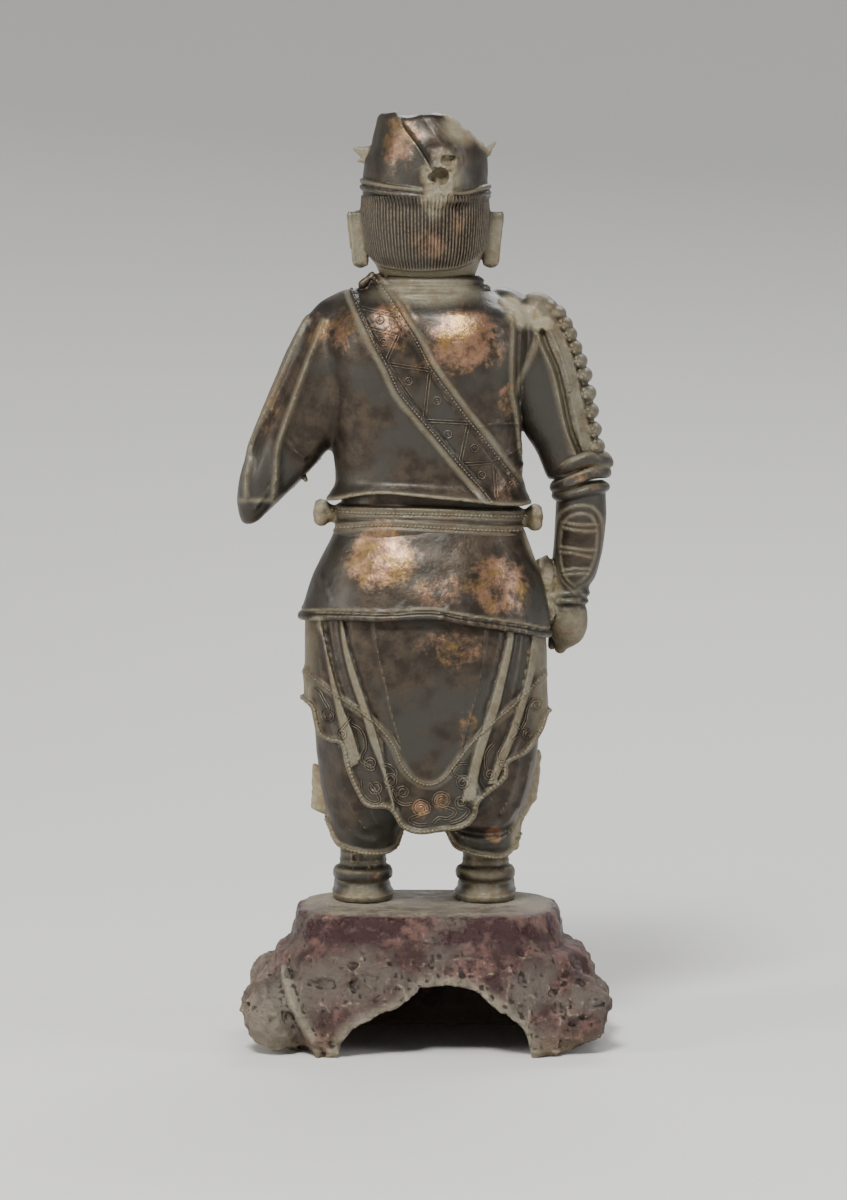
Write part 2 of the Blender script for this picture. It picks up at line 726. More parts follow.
# %% Boots and trousers
BOOT = lofted([
    [SOLE, 10.8, -10.8, -26.6, 12.2],
    [53.4, 11.2, -11, -27.6, 12.8],
    [54.6, 10.5, -10.4, -27, 12],
    [57.2, 10, -9.8, -24, 11.6],
    [58.2, 9.3, -9.2, -22, 10.9],
    [59.6, 10.9, -10.8, -20, 12.4],
    [61.6, 11.1, -10.9, -16, 12.5],
    [63.2, 10.4, -10.2, -13, 11.8],
    [64.2, 8.7, -8.7, -11, 10.4],
    [66.5, 8.4, -8.4, -10.4, 10],
    [75, 8.8, -8.8, -10, 10.4],
])
LEFT_LEG = lofted([
    [66, 32, 10.4, -14, 11],
    [71, 33.4, 9.4, -17.4, 14.6],
    [76, 34.2, 8.4, -20.4, 17],
    [84, 35.3, 5.6, -22, 20.6],
    [96, 37.6, 1, -24, 24],
    [110, 39, -1, -26, 26.4],
    [130, 40, -2, -26, 27],
])
RIGHT_LEG = lofted([
    [64, -10.6, -32, -14, 11],
    [70, -9.4, -33.6, -17.4, 14.6],
    [77, -8.4, -34.8, -20.4, 17.4],
    [84, -5.6, -36, -22, 20.6],
    [96, -2, -39.6, -24, 24],
    [110, 0, -42, -26, 26.4],
    [130, 1, -42, -26, 27],
])
LEFT_LEG_HEM = smooth_line(
    [(35.6, 81.6), (33.9, 78), (32.6, 75), (30.8, 73.2), (27.5, 72), (21, 70.6), (15, 70.4), (11.4, 71.2),
     (9.2, 73), (7.6, 78)], 0.8
)
RIGHT_LEG_HEM = smooth_line(
    [(-7.8, 79), (-9.6, 75.4), (-11.7, 72.5), (-15.4, 71.3), (-19.1, 70.2), (-22.8, 69.5), (-27.3, 68.8),
     (-30.2, 69.4), (-33, 71.8), (-35.6, 76)], 0.8
)
LEG_FOLDS = [  # line and height
    ([(31, 110), (29.4, 98), (26.4, 88), (21, 80)], 0.8),
    ([(22, 104), (20.6, 92), (17, 82)], 0.7),
    ([(27, 79.6), (24, 76.6), (18, 75)], 0.5),
    ([(-34.6, 106), (-33.4, 99), (-31.8, 93.6), (-29.6, 88.4), (-28.4, 86)], 1.1),
    ([(-38.8, 104), (-37, 95), (-34.4, 86), (-32.4, 80)], 0.9),
    ([(-26, 96), (-24, 90), (-19, 86)], 0.6),
    ([(-14, 76), (-22, 74.6), (-30, 75.6)], 0.55),
    ([(-15, 73.6), (-22, 72.4), (-30, 72.8)], 0.45),
]
RIGHT_BULGE_EDGE = smooth_line([(-11, 80.4), (-15, 78.9), (-22, 78.2), (-28, 78.4), (-32, 80.8), (-35, 85)])


def boot_at(p, bx, by, sign):
    x, y, z = p
    shifted = [x - bx, y - by, z]
    boot = form(shifted, BOOT, 2.3, 0.6)
    instep = egg(p, (bx + sign * 1.5, by - 15, SOLE + 5), (9, 13, 8))
    boot = soft_union(boot, np.maximum(instep, SOLE - z), 3)
    turn = np.arctan2(shifted[1], shifted[0])
    ribs = np.cos(64 * turn) * smoothstep(65.2, 64.7, z) * smoothstep(62.9, 63.4, z)
    welt = 0.25 * np.exp(-(((z - 53.6) / 0.4) ** 2)) + 0.3 * np.exp(-(((z - 66) / 0.35) ** 2))
    return boot - 0.22 * ribs - welt


def flashes(p):
    """Thin fins of metal left where the halves of the mould met, with crusty edges."""
    left = limb(p, (39.8, 0, 102.4), (37.2, 0, 86), 0.7, 3.9, (1, 0.5, 1))
    left = soft_common(left, 82.6 - p[2] + 0.45 * (p[0] - 35), 0.5)
    upper = limb(p, (-42, 0, 106), (-39, 0, 90), 1.2, 2.6, (1, 0.5, 1))
    middle = limb(p, (-39, 0, 90), (-34.6, 0.6, 80), 2.2, 1.4, (1, 0.6, 1))
    lower = limb(p, (-34.6, 0.6, 80), (-33.4, 0.6, 71.6), 1.3, 1.5, (1, 0.8, 1))
    right = soft_union(soft_union(upper, middle, 0.6), lower, 0.6)
    return np.minimum(left, right) - 0.5 * crags(p, 2.2, 13)


def legs_field(p):
    x, y, z = p
    made = None
    hems = LEFT_LEG_HEM, RIGHT_LEG_HEM
    for (bx, by), leg, hem, sign in zip(BOOT_PLACES, (LEFT_LEG, RIGHT_LEG), hems, (1, -1)):
        boot = boot_at(p, bx, by, sign)
        cloth = form(p, leg, 2.4, 1.2)
        turn = np.arctan2(y, x - bx)
        cloth = cloth - 0.5 * np.sin(6 * turn + 0.05 * z) * smoothstep(78, 90, z)
        for line, height in LEG_FOLDS:
            cloth = cloth - fold(p, smooth_line(line), height, 1.7)
        if sign < 0:
            cloth = cloth - ridge(p, RIGHT_BULGE_EDGE, 2, -1.5) - ridge(p, beside(RIGHT_BULGE_EDGE, -2.4), 2.6, 0.9)
        rope = roll(cloth, p, hem, 0.85)
        cloth = soft_common(cloth, below(p, hem), 0.6)
        cloth = soft_union(cloth, rope, 0.3)
        both = soft_union(boot, cloth, 0.4)
        made = both if made is None else soft_union(made, both, 2.5)
    made = soft_union(made, flashes(p), 0.5)
    heel_seat = boot_at(p, *BOOT_PLACES[0], 1)
    buckle = np.abs(np.maximum(np.abs(x - 24.8), np.abs(z - 67.9)) - 1.5) - 0.45
    made = soft_union(made, np.maximum(buckle, np.maximum(heel_seat - 1, -1 - y)), 0.3)
    plate = np.maximum(np.abs(x - 19) - 3.4 + 0.3 * (z - 66), np.abs(z - 67.8) - 2)
    made = soft_union(made, np.maximum(plate, np.maximum(heel_seat - 0.6, -1 - y)), 0.3)
    return made - 0.1 * grain(p, 4, 11) - 0.03 * grain(p, 1.6, 12)


def legs_dust(p):
    x, y, z = p
    fins = smoothstep(1.6, 0.2, flashes(p))
    bands = [0.45 * np.exp(-(((z - level) / 0.7) ** 2)) for level in (58.4, 62.8, 65.6, 68.6)]
    low = 0.45 * smoothstep(56, 51, z)
    hems = [ridge(p, hem, 1.8, 0.55) for hem in (LEFT_LEG_HEM, RIGHT_LEG_HEM)]
    return np.maximum.reduce([0.95 * fins, low, *bands, *hems])


legs = sculpt("trousers_and_boots", legs_field, (-47, -36, 49), (45, 31, 132), 0.9, legs_dust)


# %% [markdown]
# ## Carved lines measured on the back
#
# The back is flat enough to draw on. Each line below was read off the figure's back as x and z. They
# are kept together because the carving, the beads and the dirt all follow the same lines.

# %% Lines on the back
ROBE_EDGE_OUTER = smooth_line(
    [(26.1, 274.9), (21.8, 264.9), (17.5, 256), (12.8, 247.7), (8.5, 238.4), (2, 230.4), (-6.3, 220.6),
     (-13.9, 211.5), (-21.1, 203.5), (-24.6, 199)]
)
ROBE_EDGE_INNER = smooth_line(
    [(17.6, 279.4), (12.1, 272), (7, 264.2), (2, 256), (-2.3, 247.7), (-8.1, 239.4), (-15.3, 229.6),
     (-22.6, 220.5), (-28.7, 212.3), (-34, 205.2)]
)
ARMHOLE = smooth_line(
    [(-31.5, 266), (-32.4, 261.5), (-32, 250), (-32.2, 238), (-33.6, 232), (-34.6, 224), (-35.4, 216)]
)
JACKET_HEM = smooth_line(
    [(38, 198.6), (32.5, 199.6), (24, 201.6), (15.7, 202.5), (6, 202), (-2.3, 201.2), (-16.8, 199.7),
     (-28, 198.2), (-36.5, 197.8), (-42, 197.8)]
)
BELT_BEADS_UPPER = [(33, 194.9), (28.1, 194.8), (-2.3, 194.6), (-31.3, 193.4), (-37, 193)]
BELT_BEADS_LOWER = [(32.7, 188.8), (15.7, 190.6), (-2.3, 189.9), (-35.4, 187.9)]
APRON_EDGE = smooth_line(
    [(52, 155.6), (44.8, 156.4), (36, 157.4), (26.4, 157.6), (14, 157.4), (1.3, 158.2), (-6, 157.9),
     (-13.1, 156.4), (-27.5, 154.1), (-37, 152.2), (-45.4, 149.8), (-52, 149)]
)
SKIRT_HEM = smooth_line(
    [(50, 128), (44, 126), (40.7, 124.1), (39.4, 119), (38.1, 114.8), (34, 112.6), (29.7, 111.5), (27.6, 103.3),
     (24.3, 95), (20.3, 89.3), (12.4, 88.4), (7.7, 81.8), (2, 79.6), (-7.4, 80.4), (-14.6, 81.8),
     (-18.5, 85.4), (-19.8, 90.8), (-23.9, 94.4), (-29.7, 99.6), (-30.6, 105), (-37.4, 108.1),
     (-43, 115.6), (-45.4, 120.8), (-50, 124)], 0.8
)
SKIRT_BORDER = smooth_line(
    [(43, 137.6), (39.6, 134.9), (31.2, 129.1), (22.1, 123.4), (16, 118.1), (11, 112), (7.7, 104.4), (3.4, 99.3),
     (-2, 97.2), (-7, 99.3), (-11.7, 105.1), (-17.1, 112), (-23.9, 118.7), (-31.2, 124.5), (-38.1, 130.9),
     (-44.4, 136.4)]
)
PANEL_LEFT = smooth_line([(18, 156), (17.3, 148.5), (15.6, 139.8), (14, 133.6), (11.9, 123.3), (9, 113)])
PANEL_RIGHT = smooth_line(
    [(-22.8, 156), (-22, 148), (-21.4, 139.8), (-20.3, 134.9), (-18.3, 126.6), (-15.4, 115.9), (-12.9, 107.6)]
)
PLEATS = [  # the left and the right edge of each pleat, from the top down
    (
        smooth_line([(38.4, 157), (37.9, 153), (36.3, 148.5), (33.8, 134), (30.5, 118.8), (27.8, 108)]),
        smooth_line([(37, 157), (36.3, 152), (33.8, 141.5), (29.7, 127), (26, 117.5), (21.4, 102.7), (19, 96)]),
    ),
    (
        smooth_line([(30.4, 157), (29.3, 146.8), (26.4, 134.9), (22.7, 124.2), (19.4, 113), (15.3, 102.7), (12, 92)]),
        smooth_line([(29.2, 157), (26.8, 145.6), (22.3, 131.6), (17.3, 117.1), (13.4, 102), (10, 88)]),
    ),
    (
        smooth_line([(-29.8, 157), (-30.3, 151), (-28.6, 142.7), (-25.3, 130.7), (-22, 120), (-18.7, 110.9), (-15, 96)]),
        smooth_line([(-32.4, 157), (-32.5, 149), (-29.8, 135.7), (-27.4, 125.4), (-24, 115.5), (-20.6, 104), (-18.4, 90)]),
    ),
    (
        smooth_line([(-38.8, 157), (-38.9, 149), (-37.3, 137.3), (-34.8, 127.5), (-31.1, 116.7), (-27.4, 108.5), (-25, 102)]),
        smooth_line([(-41.4, 157), (-41.4, 143), (-40.2, 137.3), (-37.3, 126.6), (-33.1, 113.8), (-28.4, 103)]),
    ),
]
CAP_FOLD = smooth_line([(9.4, 338.4), (7.1, 333.8), (4.4, 330), (1.3, 325.9), (-1.6, 321), (-4.4, 315)])
CAP_BAND_LINE = smooth_line(
    [(26, 313.6), (20.9, 312.4), (12.8, 310.7), (2.3, 309.4), (-5.6, 308.4), (-15, 308.3), (-22, 310.3), (-27, 311)]
)
HAIR_HEM = smooth_line(
    [(25, 298), (22.4, 292), (20.3, 287.6), (15.8, 283.7), (8, 282.2), (1.3, 281.8), (-6, 282.2), (-13.2, 283.2),
     (-19.8, 286.7), (-23, 292), (-26, 298)]
)
print(len(PLEATS), "pleats,", len(SKIRT_HEM), "points along the hem")


# %% [markdown]
# ## The skirt
#
# The skirt hangs from under the apron in flat-topped pleats that draw together towards the middle,
# where a smooth panel ends in a round tongue. A broad border follows the hem. The hem itself is cut
# in steps, lower in the middle, and edged with a cord.
#
# A pleat is drawn by its two edges, and between them the cloth stands a little higher. Its sides
# were chiselled sharp, which is why it reads from far away. The casting is open under the hem, so
# the space below is hollowed, and the trousers come out of it.

# %% Skirt
SKIRT = lofted([
    [SKIRT_LOW - 4, 39, -42, -26.5, 27.4],
    [95, 41.8, -43.8, -29, 29.8],
    [110, 42.6, -44.4, -30, 31],
    [125, 43, -44.9, -30, 31.4],
    [140, 43.4, -45, -29.5, 31],
    [160, 43, -44, -28, 29],
])
SKIRT_WALL = 3.6
HOLLOW_DEPTH = 14


def skirt_field(p):
    x, y, z = p
    cloth = form(p, SKIRT, 2.7, 1)
    drop = height_on(SKIRT_HEM, x)
    carved = 0
    for side in (BEHIND, BEFORE):
        for left, right in PLEATS:
            carved = carved + pleat(p, left, right, 1.15, side)
            carved = carved + ridge(p, beside(right, -1.1), 1.3, -0.5, side)
            carved = carved + ridge(p, beside(left, 1.4), 1.6, -0.35, side)
        carved = carved + cloth_edge(p, PANEL_LEFT[::-1], 0.7, 5, side) + ridge(p, PANEL_LEFT, 0.8, 0.35, side)
        carved = carved + cloth_edge(p, PANEL_RIGHT, 0.7, 5, side) + ridge(p, PANEL_RIGHT, 0.7, 0.35, side)
        carved = carved + ridge(p, beside(SKIRT_BORDER, 0.1), 1, 0.35, side)
        carved = carved + ridge(p, beside(SKIRT_BORDER, 1.7), 0.6, 0.35, side)
        carved = carved + ridge(p, beside(SKIRT_BORDER, -1.5), 0.7, -0.3, side)
    edge_fold = smooth_line([(44, 136), (42, 131), (41.6, 123), (40, 117), (37.6, 113)])
    carved = carved + fold(p, edge_fold, 0.9, 1.3)
    wave = 0.8 * np.sin(0.42 * x + 1.2) * smoothstep(16, 0, z - drop)
    cloth = cloth - carved - wave * np.sign(y)
    tail = egg(p, (-18.6, 27, 93), (3.4, 4.2, 6))
    cloth = soft_union(cloth, tail, 1.2)
    cloth = cloth - 0.1 * grain(p, 3.4, 21) - 0.03 * grain(p, 1.5, 22)
    cavity = np.maximum(form(p, SKIRT, 2.7, 1) + SKIRT_WALL, z - drop - HOLLOW_DEPTH)
    hem = roll(cloth, p, beside(SKIRT_HEM, -0.4), 0.95, 0.1)
    cloth = soft_common(cloth, below(p, SKIRT_HEM), 0.7)
    cloth = soft_union(cloth, hem, 0.4)
    return np.maximum(cloth, -cavity)


def skirt_dust(p):
    """Dust on the flat of the pleats, along the border and at the sides, and gold-brown above."""
    crests = sum(pleat(p, left, right, 0.5) for left, right in PLEATS)
    border = ridge(p, SKIRT_BORDER, 2.2, 0.3) + ridge(p, SKIRT_HEM, 2.2, 0.45)
    sides = 0.5 * smoothstep(36, 44, np.abs(p[0]))
    return np.maximum.reduce([crests, border, sides])


skirt = sculpt("skirt", skirt_field, (-50, -37, 76), (49, 38, 162), 0.73, skirt_dust)

# %% [markdown]
# ## The apron and the belt
#
# Over the skirt lies a short apron of smooth armour, flaring over the hips to a rolled hem. The hem
# waves, and drops towards the figure's right. It carries no ornament, only hammer marks and wear, so
# its form is a plain loft with broad, shallow grain.
#
# The belt is a strap between two rows of beads, with a knot at each hip. Its middle is sunk so that
# the rows stand out.

# %% Apron
APRON = lofted([
    [APRON_HEM - 10, 44, -45.4, -30, 31.6],
    [APRON_HEM, 45.2, -46.2, -31, 33],
    [158, 44.8, -45.8, -30.8, 33.2],
    [164, 43, -44.4, -29.6, 32.4],
    [170, 40.8, -42.9, -28.2, 31.1],
    [176, 38.2, -41, -26.6, 29.5],
    [183, 34.6, -38.2, -24.4, 27],
    [BELT_FOOT + 1, 31.8, -35.8, -22.6, 24.9],
    [BELT_FOOT + 3, 30.4, -34.4, -21.4, 23.6],
])


def apron_field(p):
    x, y, z = p
    plate = form(p, APRON, 2.65, 1.2)
    plate = plate - 0.45 * grain(p, 13, 31) - 0.16 * grain(p, 5, 32) - 0.05 * grain(p, 1.8, 33)
    creases = ((12, 158), (7, 163)), ((-6, 158), (-9, 161.6)), ((34, 164), (37, 171)), ((-30, 156), (-31, 162))
    for crease in creases:
        plate = plate - ridge(p, np.array(crease, float), 1.2, 0.3)
    hem_line = height_on(APRON_EDGE, x)
    lip = np.hypot(plate + 0.1, z - hem_line - 0.1) - 1.25
    groove = np.exp(-(((z - hem_line - 1.7) / 0.5) ** 2))
    thread = np.exp(-(((z - hem_line - 2.7) / 0.45) ** 2))
    plate = soft_common(plate + 0.45 * groove - 0.35 * thread, hem_line - 0.7 - z, 0.6)
    return soft_union(plate, lip, 0.35)


def apron_dust(p):
    hem_line = height_on(APRON_EDGE, p[0])
    return 0.5 * np.exp(-(((p[2] - hem_line - 2.7) / 0.5) ** 2))


apron = sculpt("apron", apron_field, (-51, -37, 143), (50, 38, 193), 0.84, apron_dust)

# %% Belt
BELT = lofted([
    [BELT_FOOT - 3, 33, -36.8, -23.6, 25.8],
    [BELT_FOOT, 32.6, -36.4, -23.2, 25.4],
    [BELT_TOP - 4, 31.6, -36.2, -22.2, 23.8],
    [BELT_TOP, 31.2, -35.8, -21.8, 23.2],
    [BELT_TOP + 6, 31, -35.6, -21.6, 23],
])
KNOTS = ((34.8, 0.5, 193.2, 1), (-38.2, 0.5, 191.4, -1))
CLASP_MIDDLE = -2
BEAD_ROW_UPPER = smooth_line(BELT_BEADS_UPPER)
BEAD_ROW_LOWER = smooth_line(BELT_BEADS_LOWER)


def belt_knot(p, x0, y0, z0, out):
    """A gathered knot: a squat trumpet of cloth with a waist and four lobes round its rim."""
    core = limb(p, (x0 - 3 * out, y0, z0), (x0 + 1.6 * out, y0, z0 + 0.6), 2.8, 3.9)
    for turn in np.radians((35, 125, 215, 305)):
        centre = (x0 + 2.4 * out, y0 + 2.9 * math.cos(turn), z0 + 0.6 + 2.9 * math.sin(turn))
        core = soft_union(core, egg(p, centre, (2.7, 2.5, 2.5)), 0.9)
    return core - 0.25 * crags(p, 2, 42)


def belt_dust(p):
    knots = [smoothstep(2.5, 0.5, belt_knot(p, *knot)) for knot in KNOTS]
    rows = [0.42 * np.exp(-(((p[2] - height_on(row, p[0])) / 1.6) ** 2)) for row in (BEAD_ROW_UPPER, BEAD_ROW_LOWER)]
    return np.maximum.reduce([*(0.75 * knot for knot in knots), *rows])


def belt_field(p):
    x, y, z = p
    strap = form(p, BELT, 2.7, 0.8)
    upper, lower = height_on(BEAD_ROW_UPPER, x), height_on(BEAD_ROW_LOWER, x)
    edge = 0
    for level in (upper + 1.5, upper - 1.5, lower + 1.5, lower - 1.5):
        edge = edge + 0.35 * np.exp(-((z - level) / 0.45) ** 2)
    for level in (upper, lower):
        edge = edge - 0.25 * np.exp(-(((z - level) / 0.8) ** 2))
    recess = 1.3 * smoothstep(upper + 1.8, upper + 2.8, z) + 0.5 * np.exp(-(((z - (upper + lower) / 2) / 0.8) ** 2))
    strap = strap - edge + recess - 0.03 * grain(p, 1.8, 41)
    for x0, y0, z0, out in KNOTS:
        strap = soft_union(strap, belt_knot(p, x0, y0, z0, out), 1)
    clasp = np.maximum(np.abs(x - CLASP_MIDDLE) - 9, np.maximum(np.abs(z - 193) - 6, np.abs(y + 23) - 3.4))
    strap = soft_union(strap, clasp, 1)
    boss = egg(p, (CLASP_MIDDLE, -26.4, 193), (5, 2.2, 3.8))
    ring = np.hypot(np.hypot((x - CLASP_MIDDLE) / 7 * 5, z - 193) - 4.6, y + 26.4) - 0.6
    return soft_union(soft_union(strap, boss, 0.5), ring, 0.4)


belt = sculpt("belt", belt_field, (-46, -31, 183), (43, 30, 208), 0.72, belt_dust)

# %% [markdown]
# ## Jacket, left sleeve and right arm
#
# These are one field, because on the figure the shoulders flow into one another. A wide border
# crosses the back from the left shoulder to the right hip, between two cords. The left sleeve hangs
# like a bag from the raised forearm, with two sharp folds. The right arm carries a strip of
# scalloped lames beyond the open edge of its sleeve, and a deep gap parts the two.

# %% Jacket sections
JACKET = lofted([
    [BELT_TOP - 6, 33.4, -37.4, -24.2, 25.8],
    [BELT_TOP, 33.2, -37.2, -24, 25.4],
    [206, 32.2, -36.4, -22.4, 24],
    [222, 33.4, -35.8, -23, 25],
    [240, 36, -37, -26, 27.4],
    [255, 38.5, -40, -26, 27.6],
    [265, 34, -38.5, -23, 25.4],
    [COLLAR_FOOT, 27.5, -31, -18.5, 20.9],
    [276, 19, -23.5, -14, 16.4],
])
COLLAR = lofted([
    [267, 23, -26, -19.4, 21],
    [272, 21.8, -24.8, -18, 20],
    [275, 20, -23, -16, 18],
    [279.8, 17.8, -20.8, -13.6, 15.6],
])
SLEEVE = lofted([
    [188, 65, 58, -8, 1],
    [194, 67.2, 55, -12, 6],
    [199, 68.2, 50, -14.5, 9],
    [206, 67.6, 43, -16, 11],
    [213, 65.4, 37, -17, 12.6],
    [222, 62, 31, -18, 14.4],
    [236, 56.6, 26, -18, 16],
    [250, 50.8, 22, -17, 16.4],
    [262, 44.4, 16, -14.6, 15],
    [270, 37.8, 12, -11, 11.6],
    [275, 29, 14, -6.6, 7],
])
ARM = lofted([
    [206, -45, -63, -11, 7.5],
    [216, -41, -61.6, -12, 9],
    [224, -36, -59.4, -13, 11],
    [236, -30, -56.2, -14, 13],
    [250, -26, -52.4, -14.4, 14.4],
    [262, -20, -46.8, -13, 13.6],
    [270, -14, -40.6, -10, 10.6],
    [275.4, -16, -32, -6, 6.4],
])
SLEEVE_HEM = smooth_line(
    [(72, 190), (66, 189.4), (61.4, 190), (56.4, 194.4), (50, 200.4), (44, 206.4), (38.4, 212.4), (34.6, 218), (30, 224)]
)
SLEEVE_FOLDS = [
    smooth_line([(42.6, 264.4), (44.9, 260.4), (55, 237), (63, 220), (63.6, 212.5), (64.7, 207.1), (64.4, 199.4)]),
    smooth_line([(36.2, 264), (37.5, 260.7), (46, 238), (52, 220.8), (53.2, 212.7), (53.6, 206), (54.6, 199)]),
]
PANEL_EDGE_IN = smooth_line([(-41.6, 258), (-40.8, 255.9), (-36.1, 245.4), (-32.9, 237.6), (-33.4, 231)])
PANEL_EDGE_OUT = smooth_line(
    [(-41.6, 259.6), (-43, 255.2), (-47, 245.7), (-49.2, 237), (-52.1, 223.9), (-56.8, 212.6)]
)
SCALLOPS = [
    (-44.6, 270.2), (-48.2, 268.8), (-51.3, 266.5), (-53.5, 262.6), (-55.2, 258.8), (-57.1, 254), (-59, 249.3),
    (-60.8, 244.2), (-62.2, 237.6), (-63.2, 231), (-64.3, 224.4), (-65.4, 218.2),
]
STRIP = [(-41, 266, 8), (-49.5, 250, 7.6), (-54.4, 234, 6.8), (-58.6, 216, 5.8)]  # x, z and radius
LAME_EDGE = smooth_line([(-46.6, 262), (-50.4, 254), (-53, 246), (-55, 237), (-57, 228), (-59.4, 217)])
SIDE_FOLDS = [
    smooth_line([(-18.8, 225.9), (-26, 227.2), (-34.4, 226.8)]),
    smooth_line([(-27, 214.8), (-31, 216), (-35.4, 218.6)]),
    smooth_line([(-30.6, 209), (-33, 209.6), (-36, 211.6)]),
]
print(len(SCALLOPS), "scallops on the right arm")


# %% Hands
def fist(p, centre):
    """A closed fist: a palm, four curled fingers and a thumb laid over them."""
    cx, cy, cz = centre
    made = egg(p, centre, (6, 6.6, 7.8))
    for level in (5.2, 1.9, -1.4, -4.6):
        knuckle = (cx + 4.9, cy - 2, cz + level)
        middle = (cx + 1.4, cy - 6.7, cz + level)
        tip = (cx - 4.6, cy - 4.4, cz + level)
        made = soft_union(made, limb(p, knuckle, middle, 2.1, 1.95), 0.7)
        made = soft_union(made, limb(p, middle, tip, 1.95, 1.7), 0.5)
    thumb = limb(p, (cx - 3.4, cy + 1, cz + 5.6), (cx - 1, cy - 6.6, cz + 7.2), 2.3, 1.8)
    return soft_union(made, thumb, 0.8)


# %% Jacket
def jacket_field(p):
    x, y, z = p
    body = form(p, JACKET, 2.7, 1.5)
    for x0 in (15, -17):
        body = soft_union(body, egg(p, (x0, 17, 253), (15, 11.4, 17)), 6)
    collar = form(p, COLLAR, 2.3, 1) - 1.1 * np.abs(np.sin((z - 272) * math.pi / 2.55)) + 0.5
    body = soft_union(body, collar, 0.6)
    body = soft_union(body, egg(p, (-22.4, 9, 275.4), (1.9, 1.9, 1.7)), 0.4)
    body = soft_union(body, limb(p, (18.6, 8, 280.4), (22, 9, 277.4), 1.2, 0.7), 0.5)
    for side in (BEHIND, BEFORE):
        for line, inwards in ((ROBE_EDGE_OUTER, -1), (ROBE_EDGE_INNER, 1)):
            body = body - ridge(p, line, 1.5, 0.6, side)
            body = body - ridge(p, beside(line, 1.9 * inwards), 0.7, -0.35, side)
            body = body - ridge(p, beside(line, -1.9 * inwards), 0.7, 0.4, side)
            body = body - ridge(p, beside(line, -3 * inwards), 1.1, -0.3, side)
    outer, inner = height_on(ROBE_EDGE_OUTER, x), height_on(ROBE_EDGE_INNER, x)
    within = smoothstep(-0.5, 0.5, z - outer) * smoothstep(-0.5, 0.5, inner - z)
    body = body - 0.3 * within
    for line in SIDE_FOLDS:
        body = body - fold(p, line, 0.8, 0.8)
    body = body - ridge(p, ARMHOLE, 0.8, 0.7) + ridge(p, beside(ARMHOLE, -1.6), 1, 0.6)
    hem_line = height_on(JACKET_HEM, x)
    flare = 1.6 * smoothstep(6, 0, z - hem_line) ** 2
    lip = np.hypot(body - flare + 0.2, z - hem_line) - 0.75
    body = soft_common(body - flare, hem_line - 0.3 - z, 0.5)
    body = soft_union(body, lip, 0.4)
    caked = smoothstep(0.35, 0.75, patches(p, DUST_SPOTS[:3]) + 0.35 * grain(p, 3.4, 53))
    body = body - 0.55 * caked * smoothstep(0, 6, y)
    made = soft_union(body, left_sleeve(p), 5)
    made = soft_union(made, right_sleeve(p), 1.2)
    return made - 0.15 * grain(p, 6, 51) - 0.035 * grain(p, 2, 52)


def left_sleeve(p):
    x, y, z = p
    cloth = form(p, SLEEVE, 2.5, 1.5)
    cloth = cloth + 0.45 * np.sin((x + 0.45 * z) * 0.36) * smoothstep(272, 245, z)
    for line in SLEEVE_FOLDS:
        cloth = cloth - fold(p, line, 1.7, 1.6, BEHIND)
        cloth = cloth - ridge(p, beside(line, -5), 5, -0.55)
        cloth = cloth - ridge(p, line, 2, 1, BEFORE)
    cloth = soft_common(cloth, below(p, SLEEVE_HEM), 1.4)
    for points in ([(48.9, 220.4), (46.4, 217), (43.2, 214.4)], [(61, 196), (57.4, 201), (53, 206.6)]):
        cloth = cloth - fold(p, smooth_line(points), 0.8, 0.8)
    knob = limb(p, (45.2, 4, 209.6), (42.8, 5.4, 206), 1.3, 0.9)
    cloth = soft_union(cloth, knob, 0.8)
    mouth = egg(p, (55.4, -18.6, 207), (9.6, 9, 13))
    cloth = -soft_union(-cloth, mouth, 1)
    forearm = limb(p, (56.5, -4, 204.5), (49, -33, 213.8), 7, 5.6)
    for along in (-14.2, -22):
        forearm = forearm - 0.5 * np.exp(-(((y - along) / 0.8) ** 2))
    cloth = soft_union(cloth, forearm, 0.8)
    return soft_union(cloth, fist(p, (46.6, -36.8, 215)), 1)


def right_sleeve(p):
    """A plain sleeve, and beyond a deep gap a strip of armour: overlapping plates, a braid, scallops."""
    cloth = form(p, ARM, 2.3, 2)
    strip = None
    for (x1, z1, r1), (x2, z2, r2) in itertools.pairwise(STRIP):
        bar = limb(p, (x1, 2, z1), (x2, 1.5, z2), r1, r2, (1, 1.15, 1))
        strip = bar if strip is None else soft_union(strip, bar, 2)
    for side in (BEHIND, BEFORE):
        for offset in (-1.7, 1.7):
            strip = strip - ridge(p, beside(LAME_EDGE, offset), 0.7, 0.65, side)
        strip = strip - ridge(p, beside(LAME_EDGE, -3.6), 1.6, -0.7, side)
        for k in range(4):
            top = LAME_EDGE[0] + (LAME_EDGE[-1] - LAME_EDGE[0]) * k / 4
            plate = smooth_line([top + (5, 1), top + (6.4, -4), top + (4.6, -9), top + (1.6, -9.6)])
            strip = strip - cloth_edge(p, plate[::-1], 0.8, 3, side)
    for x0, z0 in SCALLOPS:
        strip = soft_union(strip, egg(p, (x0 + 3.2, 1.4, z0 - 0.3), (3.9, 8.8, 3.3)), 0.2)
    made = soft_union(cloth, strip, 0.6)
    for side in (BEHIND, BEFORE):
        made = made - ridge(p, beside(PANEL_EDGE_OUT, -1.2), 1.2, -2.6, side, 0.7)
        made = made - fold(p, beside(PANEL_EDGE_OUT, 0.5), 0.9, 0.9, side)
        made = made - fold(p, PANEL_EDGE_IN, 0.9, 0.8, side)
    return made


